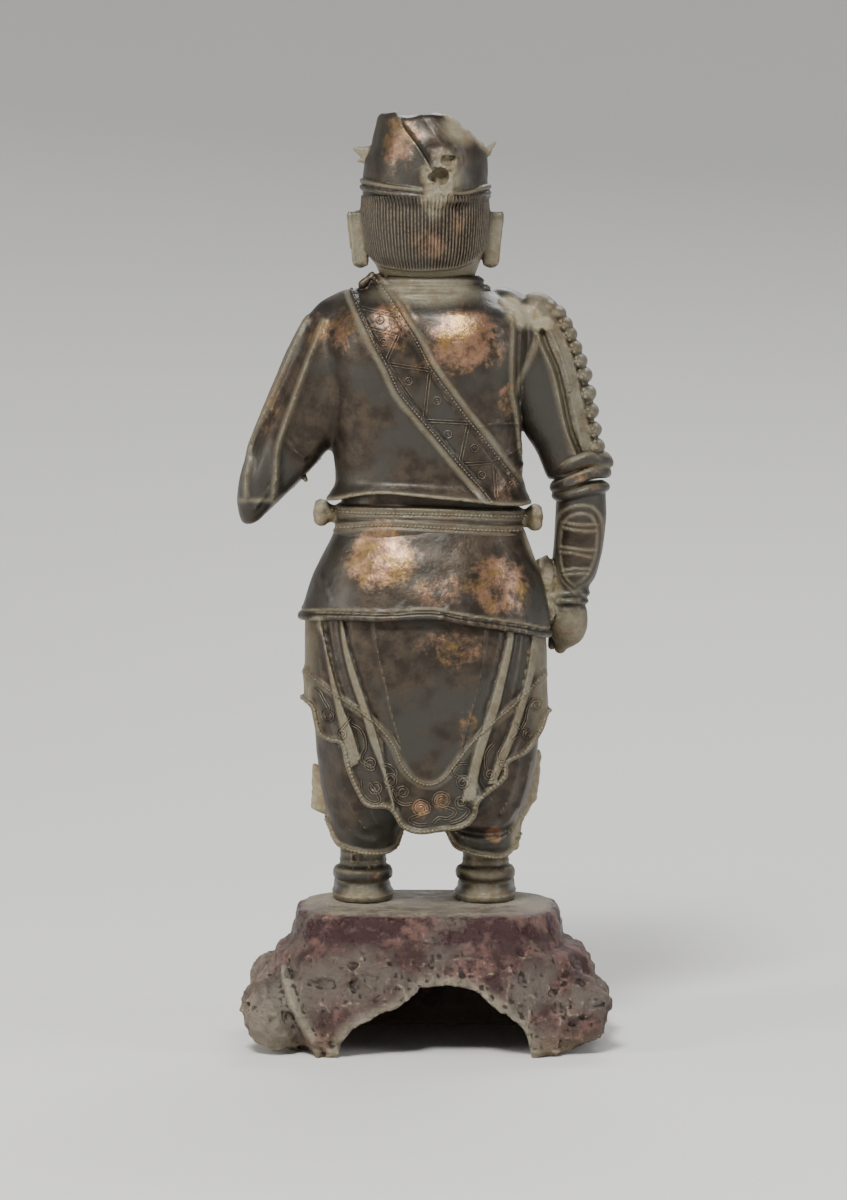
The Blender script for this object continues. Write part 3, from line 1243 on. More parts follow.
def jacket_dust(p):
    x, y, z = p
    caked = smoothstep(0.35, 0.75, patches(p, DUST_SPOTS[:3]) + 0.35 * grain(p, 3.4, 53))
    lines = [ridge(p, line, 1.6, 0.4) for line in (*SLEEVE_FOLDS, ARMHOLE, PANEL_EDGE_OUT, PANEL_EDGE_IN)]
    edges = [ridge(p, beside(line, 2 * way), 1.4, 0.45)
             for line, way in ((ROBE_EDGE_OUTER, 1), (ROBE_EDGE_INNER, -1))]
    plates = 0.42 * smoothstep(2, -1, x - np.interp(z, [214, 250, 268], [-54, -45, -38])) * smoothstep(214, 216, z)
    hem = 0.5 * np.exp(-(((z - height_on(JACKET_HEM, x)) / 0.9) ** 2))
    return np.maximum.reduce([caked, hem, plates, *lines, *edges])


jacket = sculpt("jacket_and_sleeves", jacket_field, (-72, -48, 186), (73, 34, 283), 0.76, jacket_dust)

# %% [markdown]
# ## The right forearm
#
# Below the elbow the sleeve is pushed up in two thick rolls over an armoured forearm. The hand rests
# against the hip, and some metal was left in the narrow gap beside the wrist. The rolls slant, so
# they are drawn as lines and not put in the sections.

# %% Forearm, cuff and hand
FOREARM = lofted([
    [150, -45.6, -58.6, -15.6, -1.6],
    [157, -46, -60, -15, -0.8],
    [159.4, -47, -59.4, -14, -1],
    [160.6, -46.2, -60.6, -15.2, 0.4],
    [162.2, -46.8, -60, -14.6, 0],
    [163.6, -46, -61, -15.2, 0.8],
    [165.4, -46.8, -60.6, -14.6, 0.2],
    [170, -46.6, -63, -15, 1.8],
    [182, -47.6, -65.8, -15.4, 4],
    [194, -48.2, -66.8, -14.6, 6],
    [200, -48.4, -66.6, -13.6, 7],
    [216, -47.4, -66, -13, 8],
])
CUFF_ROLLS = [
    smooth_line([(-44, 206.6), (-48.9, 209.6), (-55.1, 212.4), (-60.6, 214), (-66.8, 212.8), (-71, 211)]),
    smooth_line([(-44, 202), (-48.6, 203.6), (-54, 205.8), (-60.6, 208.4), (-65.4, 208.8), (-71, 207.4)]),
    smooth_line([(-50, 199.8), (-55.1, 200.9), (-60.6, 202.4), (-66.4, 203), (-71, 202.6)]),
]


GUARD_OVALS = [
    smooth_line(points, 1)
    for points in (
        [(-55, 164.4), (-50.6, 168.4), (-48.3, 176), (-48.2, 186), (-50, 193.6), (-56, 196.4), (-62, 195.4),
         (-65.2, 189.6), (-64.4, 178), (-61, 169.4), (-55, 164.4)],
        [(-55, 166.6), (-51.6, 170), (-49.8, 176), (-49.7, 185), (-51.4, 191), (-56.4, 193.4), (-61, 192.4),
         (-63.2, 187.4), (-62.6, 178), (-59.6, 170.8), (-55, 166.6)],
    )
]
GUARD_BANDS = [
    smooth_line(points)
    for points in (
        [(-50.4, 190.4), (-55.3, 189.4), (-63.4, 189.5)], [(-51, 188.2), (-55.8, 187.2), (-62.6, 187)],
        [(-49.8, 181.2), (-57.4, 180.2), (-62.6, 180)], [(-49.6, 179.1), (-53.8, 178.9), (-61, 177.3)],
        [(-50.2, 172.2), (-54.8, 173.2), (-60.8, 173)], [(-50.7, 170.7), (-55.3, 171.3), (-60.2, 171.3)],
        [(-48.6, 161.9), (-55.3, 161.4), (-60.4, 164.2)], [(-46, 159.3), (-50.7, 157.9), (-56.4, 158), (-60.4, 160.4)],
    )
]


def forearm_field(p):
    x, y, z = p
    made = soft_common(form(p, FOREARM, 2.3, 2), z - 204 - 0.16 * (-x - 56), 2)
    for line in GUARD_OVALS:
        made = made - ridge(p, line, 0.65, 0.45)
    for line in GUARD_BANDS:
        made = made - ridge(p, line, 0.65, 0.5)
    for line, size in zip(CUFF_ROLLS, (3.2, 2.5, 1.9)):
        level = height_on(line, x)
        made = soft_union(made, np.hypot(form(p, FOREARM, 2.3, 2) * 0.85 + 0.5, z - level) - size, 0.5)
    dent = limb(p, (-51, 10, 205.2), (-60, 10, 207.6), 1.7, 0.9)
    made = -soft_union(-made, dent, 0.8)
    palm = egg(p, (-53, -7.6, 152.4), (7, 6.6, 8.4))
    tip = limb(p, (-52.4, -8.6, 149), (-50.2, -9.6, 143.4), 5, 2.2, (1, 0.9, 1))
    made = soft_union(soft_union(made, palm, 1.5), tip, 2)
    for k, length in enumerate((12, 9.4, 7.8, 8.6)):
        root = (-47.8 - 3.1 * k, -12.6, 157)
        joint = (-47.8 - 3.1 * k, -15.6, 157 - 0.6 * length)
        end = (-47.2 - 3.1 * k, -11.6, 156 - length)
        made = soft_union(made, limb(p, root, joint, 1.9, 1.8), 0.6)
        made = soft_union(made, limb(p, joint, end, 1.8, 1.5), 0.5)
    bridge = soft_union(egg(p, (-44.8, -3, 170), (4.4, 5, 7)), egg(p, (-45.6, -5, 159), (3.6, 5, 7)), 3)
    made = soft_union(made, bridge - 1.4 * grain(p, 2.6, 61) - 0.8 * crags(p, 1.6, 63), 0.6)
    return made - 0.08 * grain(p, 3, 62)


def forearm_dust(p):
    lines = [ridge(p, line, 1, 0.4) for line in (*GUARD_OVALS, *GUARD_BANDS)]
    cuff = [0.45 * np.exp(-(((p[2] - height_on(line, p[0]) - 2) / 0.9) ** 2)) for line in CUFF_ROLLS]
    hand = 0.5 * smoothstep(160, 156, p[2])
    return np.maximum.reduce([hand, *lines, *cuff])


forearm = sculpt("right_forearm", forearm_field, (-72, -22, 137), (-38, 15, 219), 0.6, forearm_dust)

# %% [markdown]
# ## Head and cap
#
# The hair is cut straight across the neck and stands a little proud of it, with a thin raised edge.
# The cap sits on a rolled band. Its right corner has broken away, and there is a crusted hole in its
# back. The wings of such a cap are slender, and only their roots are left.
#
# The face cannot be seen from behind. It is a plain, calm one on the usual proportions: eyes half-way
# up the head, the nose as long as the ear is high, and closed lips.

# %% Head sections
HEAD = lofted([
    [CHIN - 14, 15.4, -18.4, -12, 13.4],
    [CHIN - 4, 15, -18, -12.4, 13.4],
    [CHIN - 0.5, 15.6, -18.6, -17.6, 15],
    [CHIN + 2.5, 16.8, -19.6, -20.4, 18],
    [288, 19.2, -21.4, -21.8, 20.6],
    [295, 20.6, -22.2, -22.4, 21.6],
    [302, 21.4, -22.6, -22.6, 22],
    [312, 20.8, -22, -21.6, 21.6],
])
CAP = lofted([
    [CAP_BAND - 2, 21.6, -22.8, -23.4, 23.6],
    [314, 21.8, -23.4, -24.2, 24.8],
    [321, 21, -23.2, -24, 24.6],
    [327, 18.6, -22.4, -23, 23.4],
    [332, 17.4, -21, -21.6, 21.6],
    [CAP_TOP, 16, -18.6, -19, 19],
])
EAR = lofted([
    [283.6, 2.6, -2.6, -3, 1.6],
    [286, 2.9, -2.9, -4.4, 1.9],
    [294, 3.1, -3.1, -5.6, 2.1],
    [301, 3.3, -3.3, -6, 2.2],
    [303, 3, -3, -5, 2],
])
FACE_MIDDLE = -0.8
EAR_PLACES = ((23.6, 1), (-25.2, -1))
HOLE = (-6.6, 24, 318)
BREAK_CORNER = (-8.2, 339)


def mirrored(line, side):
    """A line of the face, drawn for one side as (distance from the middle, height)."""
    rows = np.array(line, float)
    return smooth_line(np.column_stack([FACE_MIDDLE + side * rows[:, 0], rows[:, 1]]), 0.6)


def face(p, head):
    x, y, z = p
    made = soft_union(head, egg(p, (FACE_MIDDLE, -15, 289.4), (9, 8, 8.4)), 5)
    made = soft_union(made, egg(p, (FACE_MIDDLE, -17.4, 282.8), (5.8, 4.8, 4)), 3)
    for side in (1, -1):
        made = soft_union(made, egg(p, (FACE_MIDDLE + side * 10, -15.4, 292.8), (7, 6.4, 7)), 4)
        socket = egg(p, (FACE_MIDDLE + side * 7.6, -25.4, 300), (5.4, 3.8, 3.2))
        made = -soft_union(-made, socket, 2.4)
        made = soft_union(made, egg(p, (FACE_MIDDLE + side * 7.8, -18.6, 299.4), (4.4, 4, 3)), 0.8)
    made = soft_union(made, limb(p, (FACE_MIDDLE, -21.4, 303), (FACE_MIDDLE, -24.6, 294.4), 1.5, 2.3), 2.2)
    for side in (1, -1):
        made = soft_union(made, egg(p, (FACE_MIDDLE + side * 2.6, -23.4, 293.3), (1.8, 2.4, 1.6)), 0.9)
        made = made - ridge(p, mirrored([(2, 303), (6, 305.2), (11, 304.6), (14.6, 302)], side), 1.2, 0.8, BEFORE)
        made = made - ridge(p, mirrored([(3.4, 299.4), (7.4, 301.9), (12, 299.8)], side), 0.7, 0.6, BEFORE)
        made = made - ridge(p, mirrored([(3.8, 298.6), (7.6, 297.2), (11.6, 298.6)], side), 0.6, 0.4, BEFORE)
        made = made - ridge(p, mirrored([(0, 289.4), (1.5, 289.9), (5.2, 288.6)], side), 0.9, 0.9, BEFORE)
        made = made - ridge(p, mirrored([(0, 286.6), (2.4, 286.8), (4.4, 287.7)], side), 1, 0.9, BEFORE)
        made = made - ridge(p, mirrored([(0, 288.2), (3, 288), (5.8, 288.3)], side), 0.5, -0.8, BEFORE)
        made = made - ridge(p, mirrored([(1.7, 292.2), (2.9, 292)], side), 0.6, -0.8, BEFORE)
    return made


def ears(p):
    """Flat, squarish plates, hollowed in front, with a lobe below. They stand straight out sideways."""
    x, y, z = p
    made = None
    for x0, side in EAR_PLACES:
        lean = 0.09 * side * (z - 293)
        shell = form([x - x0 - lean, y, z], EAR, 5, 1)
        shell = -soft_union(-shell, egg(p, (x0 + side * 3.4, -3.6, 295.4), (2.6, 2.6, 6)), 1)
        shell = soft_union(shell, egg(p, (x0 - side * 0.6, -1.6, 285.8), (2.8, 3, 3.2)), 1)
        fold_back = 0.35 * np.exp(-(((np.abs(x - x0 - lean) - 2.4) / 0.7) ** 2)) * smoothstep(0, 2, y)
        shell = shell - fold_back
        made = shell if made is None else np.minimum(made, shell)
    return made - 0.12 * grain(p, 2.4, 81)


def cap_spurs(p):
    """The stumps of the cap's two wings: a blunt leaf at the left and a thin curl at the right."""
    left = limb(p, (19.4, 1, 323.8), (25.6, 1.6, 326), 3.4, 0.4, (1, 0.5, 1))
    left = soft_union(left, limb(p, (20, 1, 322), (23.4, 1.6, 321.6), 1.6, 0.7, (1, 0.6, 1)), 0.5)
    right = limb(p, (-19, 1, 324), (-23, 1.6, 324.6), 2.4, 1.5)
    right = soft_union(right, limb(p, (-23, 1.6, 324.8), (-26, 2, 328.2), 1.3, 0.45), 0.8)
    return np.minimum(left, right) - 0.2 * grain(p, 2, 82)


def broken_corner(p):
    """Distance outside what is left of the cap where its right corner has broken away."""
    x, _, z = p
    corner = ((BREAK_CORNER[0] - x) * 0.86 + (z - BREAK_CORNER[1])) / 1.32
    return corner + 0.55 * grain(p, 4, 74) + 0.5 * crags(p, 1.9, 75)


def cap_crust(p):
    """Where the casting is eaten through and crusted, from the break down over the band."""
    x, y, z = p
    near_hole = np.hypot((x - HOLE[0] - 0.16 * (319 - z)) / 6.4, (z - HOLE[2] + 4) / 12.5)
    return smoothstep(1.2, 0.6, near_hole + 0.3 * grain(p, 3, 83)) * facing(p, BEHIND)


def cap_field(p):
    x, y, z = p
    plain = form(p, CAP, 2.35, 2.2)
    crown = plain - cloth_edge(p, CAP_FOLD, 1.15, 12) - 0.3 * ridge(p, CAP_FOLD, 1.4, 1)
    crown = crown + 0.9 * ridge(p, beside(CAP_FOLD, -3.4), 4, 0.9)
    crown = crown - 0.4 * grain(p, 9, 71) - 0.16 * grain(p, 4, 72)
    knob = egg(p, (-4.4, 8, 336), (5, 6, 2.6))
    inside = plain + 3.2
    corner = broken_corner(p)
    deep = np.maximum(np.maximum(inside, 318 - z), -corner - 10)
    crown = soft_common(np.maximum(crown, -deep), corner, 0.5)
    crown = soft_union(crown, knob - 0.5 * crags(p, 2.2, 73), 0.6)
    band_line = height_on(CAP_BAND_LINE, x)
    crust = cap_crust(p)
    for lift, size in ((1.5, 1.05), (-0.9, 1.15)):
        crown = soft_union(crown, np.hypot(plain - 0.3, z - band_line - lift) - size, 0.35)
    crown = crown - crust * (0.9 * crags(p, 2.4, 76) + 0.7 * crags(p, 1.2, 77) + 0.35)
    pit = egg(p, (HOLE[0] + 0.6, HOLE[1] + 0.4, HOLE[2] - 2), (4, 4.6, 3.4)) - 1.1 * grain(p, 2.2, 78)
    second = egg(p, (HOLE[0] - 2.4, HOLE[1], HOLE[2] + 3.6), (2.6, 3.4, 2)) - 0.8 * grain(p, 1.8, 79)
    crown = np.maximum(crown, -np.minimum(pit, second))
    crown = soft_union(crown, cap_spurs(p), 1)
    boss = egg(p, (FACE_MIDDLE, -22.6, 321), (5.6, 3, 6.6))
    frame_ring = np.hypot(np.hypot(x - FACE_MIDDLE, (z - 321) * 0.86) - 7.4, y + 23.4) - 0.8
    return soft_union(soft_union(crown, boss, 1), frame_ring, 0.6)


def head_dust(p):
    x, y, z = p
    rim = 0.85 * smoothstep(2.4, 0.4, np.abs(broken_corner(p))) * smoothstep(316, 322, z) * smoothstep(-16, -6, -x)
    crust = 0.75 * cap_crust(p)
    above = z - height_on(HAIR_HEM, x)
    neck = 0.6 * smoothstep(0.2, -0.6, above) * smoothstep(-8, -2, y)
    lip = 0.5 * np.exp(-(((above - 0.2) / 0.6) ** 2)) * smoothstep(0, 4, y)
    spurs = 0.7 * smoothstep(1.2, 0.2, cap_spurs(p)) * smoothstep(20, 21.4, np.abs(x))
    band = 0.3 * np.exp(-(((z - height_on(CAP_BAND_LINE, x) - 1.5) / 1) ** 2))
    return np.maximum.reduce([rim, crust, neck, lip, spurs, band])


def head_field(p):
    x, y, z = p
    head = form(p, HEAD, 2.3, 3)
    above_hem = z - height_on(HAIR_HEM, x)
    sides = smoothstep(-8, -5, y)
    hair = smoothstep(-0.4, 0.5, above_hem) * sides
    edge = np.exp(-((above_hem - 0.2) / 0.55) ** 2) * sides
    head = face(p, head) - 1.1 * hair - 0.6 * edge
    head = soft_union(head, ears(p), 1.2)
    return soft_union(head, cap_field(p), 0.4)


head = sculpt("head_and_cap", head_field, (-31, -31, 264), (31, 31, 342), 0.51, head_dust)


# %% [markdown]
# ## Finishes
#
# Three things colour an old bronze. The patina is a thin dark oxide, brown with olive and slate in
# it. Where hands and cloth have rubbed, the metal shows through, copper or gold. Where nothing
# rubbed, dust and old earth stay, pale yellow-grey, in every hollow.
#
# So the material mixes three finishes by masks that the meshes carry: how deep a point lies in a
# crevice, where it is worn, and where dust lies. Noise in object coordinates breaks up the edges of
# the masks and gives the patina its colour, gloss and fine pitting.


# %% Node helpers
def add(tree, kind, inputs=None, **settings):
    """A node with its settings and inputs. An input is a value or another node's output."""
    made = tree.nodes.new(kind)
    for key, value in settings.items():
        setattr(made, key, value)
    for key, value in (inputs or {}).items():
        if isinstance(value, bpy.types.NodeSocket):
            tree.links.new(value, made.inputs[key])
        else:
            made.inputs[key].default_value = value
    return made


def maths(tree, operation, a, b=0.0, clamp=False):
    return add(tree, "ShaderNodeMath", {0: a, 1: b}, operation=operation, use_clamp=clamp).outputs[0]


def between(tree, value, low, high):
    """Nought below low and one above high, smooth between."""
    inputs = {"Value": value, "From Min": low, "From Max": high}
    return add(tree, "ShaderNodeMapRange", inputs, interpolation_type="SMOOTHSTEP").outputs["Result"]


def noise(tree, coordinates, per_metre, detail=3.0, roughness=0.55, offset=0.0):
    """Noise from about nought to one with so many lumps to the metre."""
    moved = add(tree, "ShaderNodeMapping", {"Vector": coordinates, "Location": (offset, offset, offset)})
    inputs = {"Vector": moved.outputs[0], "Scale": per_metre, "Detail": detail, "Roughness": roughness}
    return add(tree, "ShaderNodeTexNoise", inputs).outputs["Fac"]


def blend(tree, factor, a, b):
    """A colour or a number between a and b."""
    kind = "RGBA" if isinstance(a, tuple) or getattr(a, "type", "") == "RGBA" else "FLOAT"
    made = tree.nodes.new("ShaderNodeMix")
    made.data_type = kind
    sockets = [s for s in made.inputs if s.enabled and s.name in ("A", "B")]
    for socket, value in zip([made.inputs[0], *sockets], (factor, a, b)):
        if isinstance(value, bpy.types.NodeSocket):
            tree.links.new(value, socket)
        else:
            socket.default_value = value
    return next(s for s in made.outputs if s.enabled)


def mask(tree, name):
    return add(tree, "ShaderNodeAttribute", attribute_name=name).outputs["Fac"]


def new_material(name):
    made = bpy.data.materials.new(name)
    made.use_nodes = True
    tree = made.node_tree
    shader = tree.nodes["Principled BSDF"]
    coordinates = add(tree, "ShaderNodeTexCoord").outputs["Object"]
    return made, tree, shader, coordinates


def rgb(red, green, blue):
    return (red, green, blue, 1)


print("node helpers ready")

# %% Bronze patina
DARK_BROWN, MID_BROWN = rgb(0.026, 0.019, 0.013), rgb(0.062, 0.045, 0.03)
SLATE, RUBBED = rgb(0.047, 0.043, 0.035), rgb(0.27, 0.22, 0.15)
COPPER, GOLD = rgb(0.36, 0.19, 0.11), rgb(0.3, 0.17, 0.045)
CREAM, OCHRE = rgb(0.34, 0.3, 0.2), rgb(0.2, 0.155, 0.085)


def bronze_patina():
    made, tree, shader, place = new_material("bronze_patina")
    broad = noise(tree, place, 42, 3)
    mottle = noise(tree, place, 170, 5, 0.6, 0.3)
    fine = noise(tree, place, 900, 4, 0.65, 0.7)
    uneven = maths(tree, "SUBTRACT", mottle, 0.5)
    crevice = mask(tree, "crevice")
    colour = blend(tree, between(tree, mottle, 0.35, 0.68), DARK_BROWN, MID_BROWN)
    colour = blend(tree, between(tree, broad, 0.44, 0.62), colour, SLATE)
    smudge = maths(tree, "ADD", uneven, maths(tree, "SUBTRACT", noise(tree, place, 520, 4, 0.7, 2.9), 0.5))
    worn = maths(tree, "ADD", mask(tree, "worn"), maths(tree, "MULTIPLY", smudge, 1.8))
    worn = maths(tree, "MULTIPLY", between(tree, worn, 0.25, 1.35), between(tree, mask(tree, "worn"), 0.0, 0.3))
    metal = blend(tree, between(tree, noise(tree, place, 110, 5, 0.65, 1.7), 0.46, 0.58), COPPER, GOLD)
    colour = blend(tree, maths(tree, "MULTIPLY", worn, 0.72), colour, metal)
    crest = between(tree, maths(tree, "MULTIPLY", crevice, -1), 0.35, 1.3)
    crest = maths(tree, "MULTIPLY", crest, between(tree, fine, 0.3, 0.6))
    colour = blend(tree, maths(tree, "MULTIPLY", crest, 0.6), colour, RUBBED)
    sunk = maths(tree, "ADD", crevice, maths(tree, "MULTIPLY", uneven, 1.6))
    deep = maths(tree, "MULTIPLY", between(tree, sunk, 0.5, 1.1), between(tree, broad, 0.36, 0.6))
    shade = between(tree, maths(tree, "ADD", sunk, mask(tree, "hollow")), 0.25, 1.4)
    colour = blend(tree, maths(tree, "MULTIPLY", shade, 0.75), colour, rgb(0.012, 0.009, 0.006))
    grit = maths(tree, "MULTIPLY", maths(tree, "SUBTRACT", fine, 0.5), 0.5)
    cakes = maths(tree, "ADD", maths(tree, "MULTIPLY", uneven, 1.3), maths(tree, "ADD", grit, 1.0))
    cakes = maths(tree, "MULTIPLY", mask(tree, "dust"), cakes, clamp=True)
    dust = maths(tree, "MAXIMUM", maths(tree, "MULTIPLY", deep, 0.5), cakes)
    earth = blend(tree, between(tree, mottle, 0.4, 0.62), CREAM, OCHRE)
    colour = blend(tree, maths(tree, "MULTIPLY", dust, 0.88), colour, earth)
    rough = blend(tree, mottle, 0.36, 0.56)
    rough = blend(tree, worn, rough, 0.3)
    rough = blend(tree, dust, rough, 0.85)
    tree.links.new(colour, shader.inputs["Base Color"])
    tree.links.new(rough, shader.inputs["Roughness"])
    tree.links.new(blend(tree, dust, 0.72, 0.05), shader.inputs["Metallic"])
    shader.inputs["Coat Weight"].default_value = 0.12
    shader.inputs["Coat Roughness"].default_value = 0.25
    pits = add(tree, "ShaderNodeTexVoronoi", {"Vector": place, "Scale": 420.0}).outputs["Distance"]
    height = maths(tree, "ADD", maths(tree, "MULTIPLY", fine, 0.3), maths(tree, "MULTIPLY", mottle, 0.9))
    height = maths(tree, "ADD", height, maths(tree, "MULTIPLY", between(tree, pits, 0.0, 0.3), 0.12))
    height = maths(tree, "ADD", height, maths(tree, "MULTIPLY", maths(tree, "MULTIPLY", dust, fine), 0.9))
    bump = add(tree, "ShaderNodeBump", {"Height": height, "Strength": 0.7, "Distance": 0.0006})
    tree.links.new(bump.outputs[0], shader.inputs["Normal"])
    return made


BRONZE = bronze_patina()
print("made", BRONZE.name)


# %% [markdown]
# The plinth was lacquered reddish brown. The lacquer is dark and glossy under the upper edge, dusty
# pink over most of the rock and gone near the ground, where ochre earth shows. Its flat top is
# grey with dust. These follow height, so the material reads height from object coordinates.

# %% Plinth lacquer
def plinth_lacquer():
    made, tree, shader, place = new_material("plinth_lacquer")
    height = add(tree, "ShaderNodeSeparateXYZ", {0: place}).outputs["Z"]
    broad = noise(tree, place, 36, 3, 0.55, 2.1)
    mottle = noise(tree, place, 150, 6, 0.62, 0.9)
    fine = noise(tree, place, 800, 4, 0.7, 1.3)
    crevice = mask(tree, "crevice")
    grit = maths(tree, "MULTIPLY", maths(tree, "SUBTRACT", fine, 0.5), 1.3)
    colour = blend(tree, between(tree, mottle, 0.42, 0.62), rgb(0.04, 0.017, 0.015), rgb(0.14, 0.072, 0.058))
    colour = blend(tree, between(tree, broad, 0.46, 0.62), colour, rgb(0.105, 0.083, 0.066))
    upper = between(tree, maths(tree, "ADD", height, maths(tree, "MULTIPLY", broad, 0.012)), 0.043, 0.049)
    glossy = maths(tree, "MULTIPLY", upper, between(tree, mottle, 0.62, 0.42))
    colour = blend(tree, glossy, colour, rgb(0.034, 0.009, 0.009))
    low = between(tree, maths(tree, "ADD", height, maths(tree, "MULTIPLY", mottle, 0.018)), 0.022, 0.008)
    colour = blend(tree, maths(tree, "MULTIPLY", low, 0.7), colour, rgb(0.16, 0.12, 0.07))
    crest = between(tree, maths(tree, "MULTIPLY", crevice, -1), 0.35, 1.3)
    crest = maths(tree, "MULTIPLY", crest, between(tree, mottle, 0.4, 0.6))
    colour = blend(tree, maths(tree, "MULTIPLY", crest, 0.6), colour, rgb(0.33, 0.27, 0.2))
    patchy = maths(tree, "ADD", maths(tree, "MULTIPLY", maths(tree, "SUBTRACT", mottle, 0.5), 2.6), 0.95)
    dust = maths(tree, "MULTIPLY", mask(tree, "dust"), maths(tree, "ADD", grit, patchy), clamp=True)
    colour = blend(tree, dust, colour, blend(tree, mottle, rgb(0.3, 0.285, 0.23), rgb(0.24, 0.195, 0.12)))
    sunk = maths(tree, "ADD", crevice, maths(tree, "MULTIPLY", maths(tree, "SUBTRACT", mottle, 0.5), 1.4))
    dark = between(tree, sunk, 0.2, 0.9)
    colour = blend(tree, maths(tree, "MULTIPLY", dark, 0.85), colour, rgb(0.016, 0.011, 0.009))
    rough = blend(tree, glossy, blend(tree, fine, 0.55, 0.85), 0.2)
    tree.links.new(colour, shader.inputs["Base Color"])
    tree.links.new(blend(tree, dust, rough, 0.9), shader.inputs["Roughness"])
    tree.links.new(blend(tree, dust, 0.2, 0.0), shader.inputs["Metallic"])
    total = maths(tree, "ADD", maths(tree, "MULTIPLY", fine, 0.7), maths(tree, "MULTIPLY", mottle, 1.5))
    bump = add(tree, "ShaderNodeBump", {"Height": total, "Strength": 1.0, "Distance": 0.0016})
    tree.links.new(bump.outputs[0], shader.inputs["Normal"])
    return made


LACQUER = plinth_lacquer()
for piece in (skirt, apron, belt, jacket, forearm, head, legs):
    piece.data.materials.append(BRONZE)
plinth.data.materials.append(LACQUER)
print("made", LACQUER.name)

# %% [markdown]
# ## Cords and beads pressed onto the figure
#
# The modeller rolled thin strings of wax and strings of pellets, and pressed them onto the finished
# form. Geometry Nodes do the same. A guide line is drawn in the air behind the figure, and every
# point of it looks along its own aim until it meets the surface. There the line is swept into a cord
# and, if asked, set with beads at an even pitch.
#
# The nodes also read how worn and dusty the surface is at each spot, so that a cord takes on the
# finish of what it lies on, and they note its crest and its dirty flanks.


# %% The node tree for laid cords
FAR = 70  # how far from the axis the guides are drawn


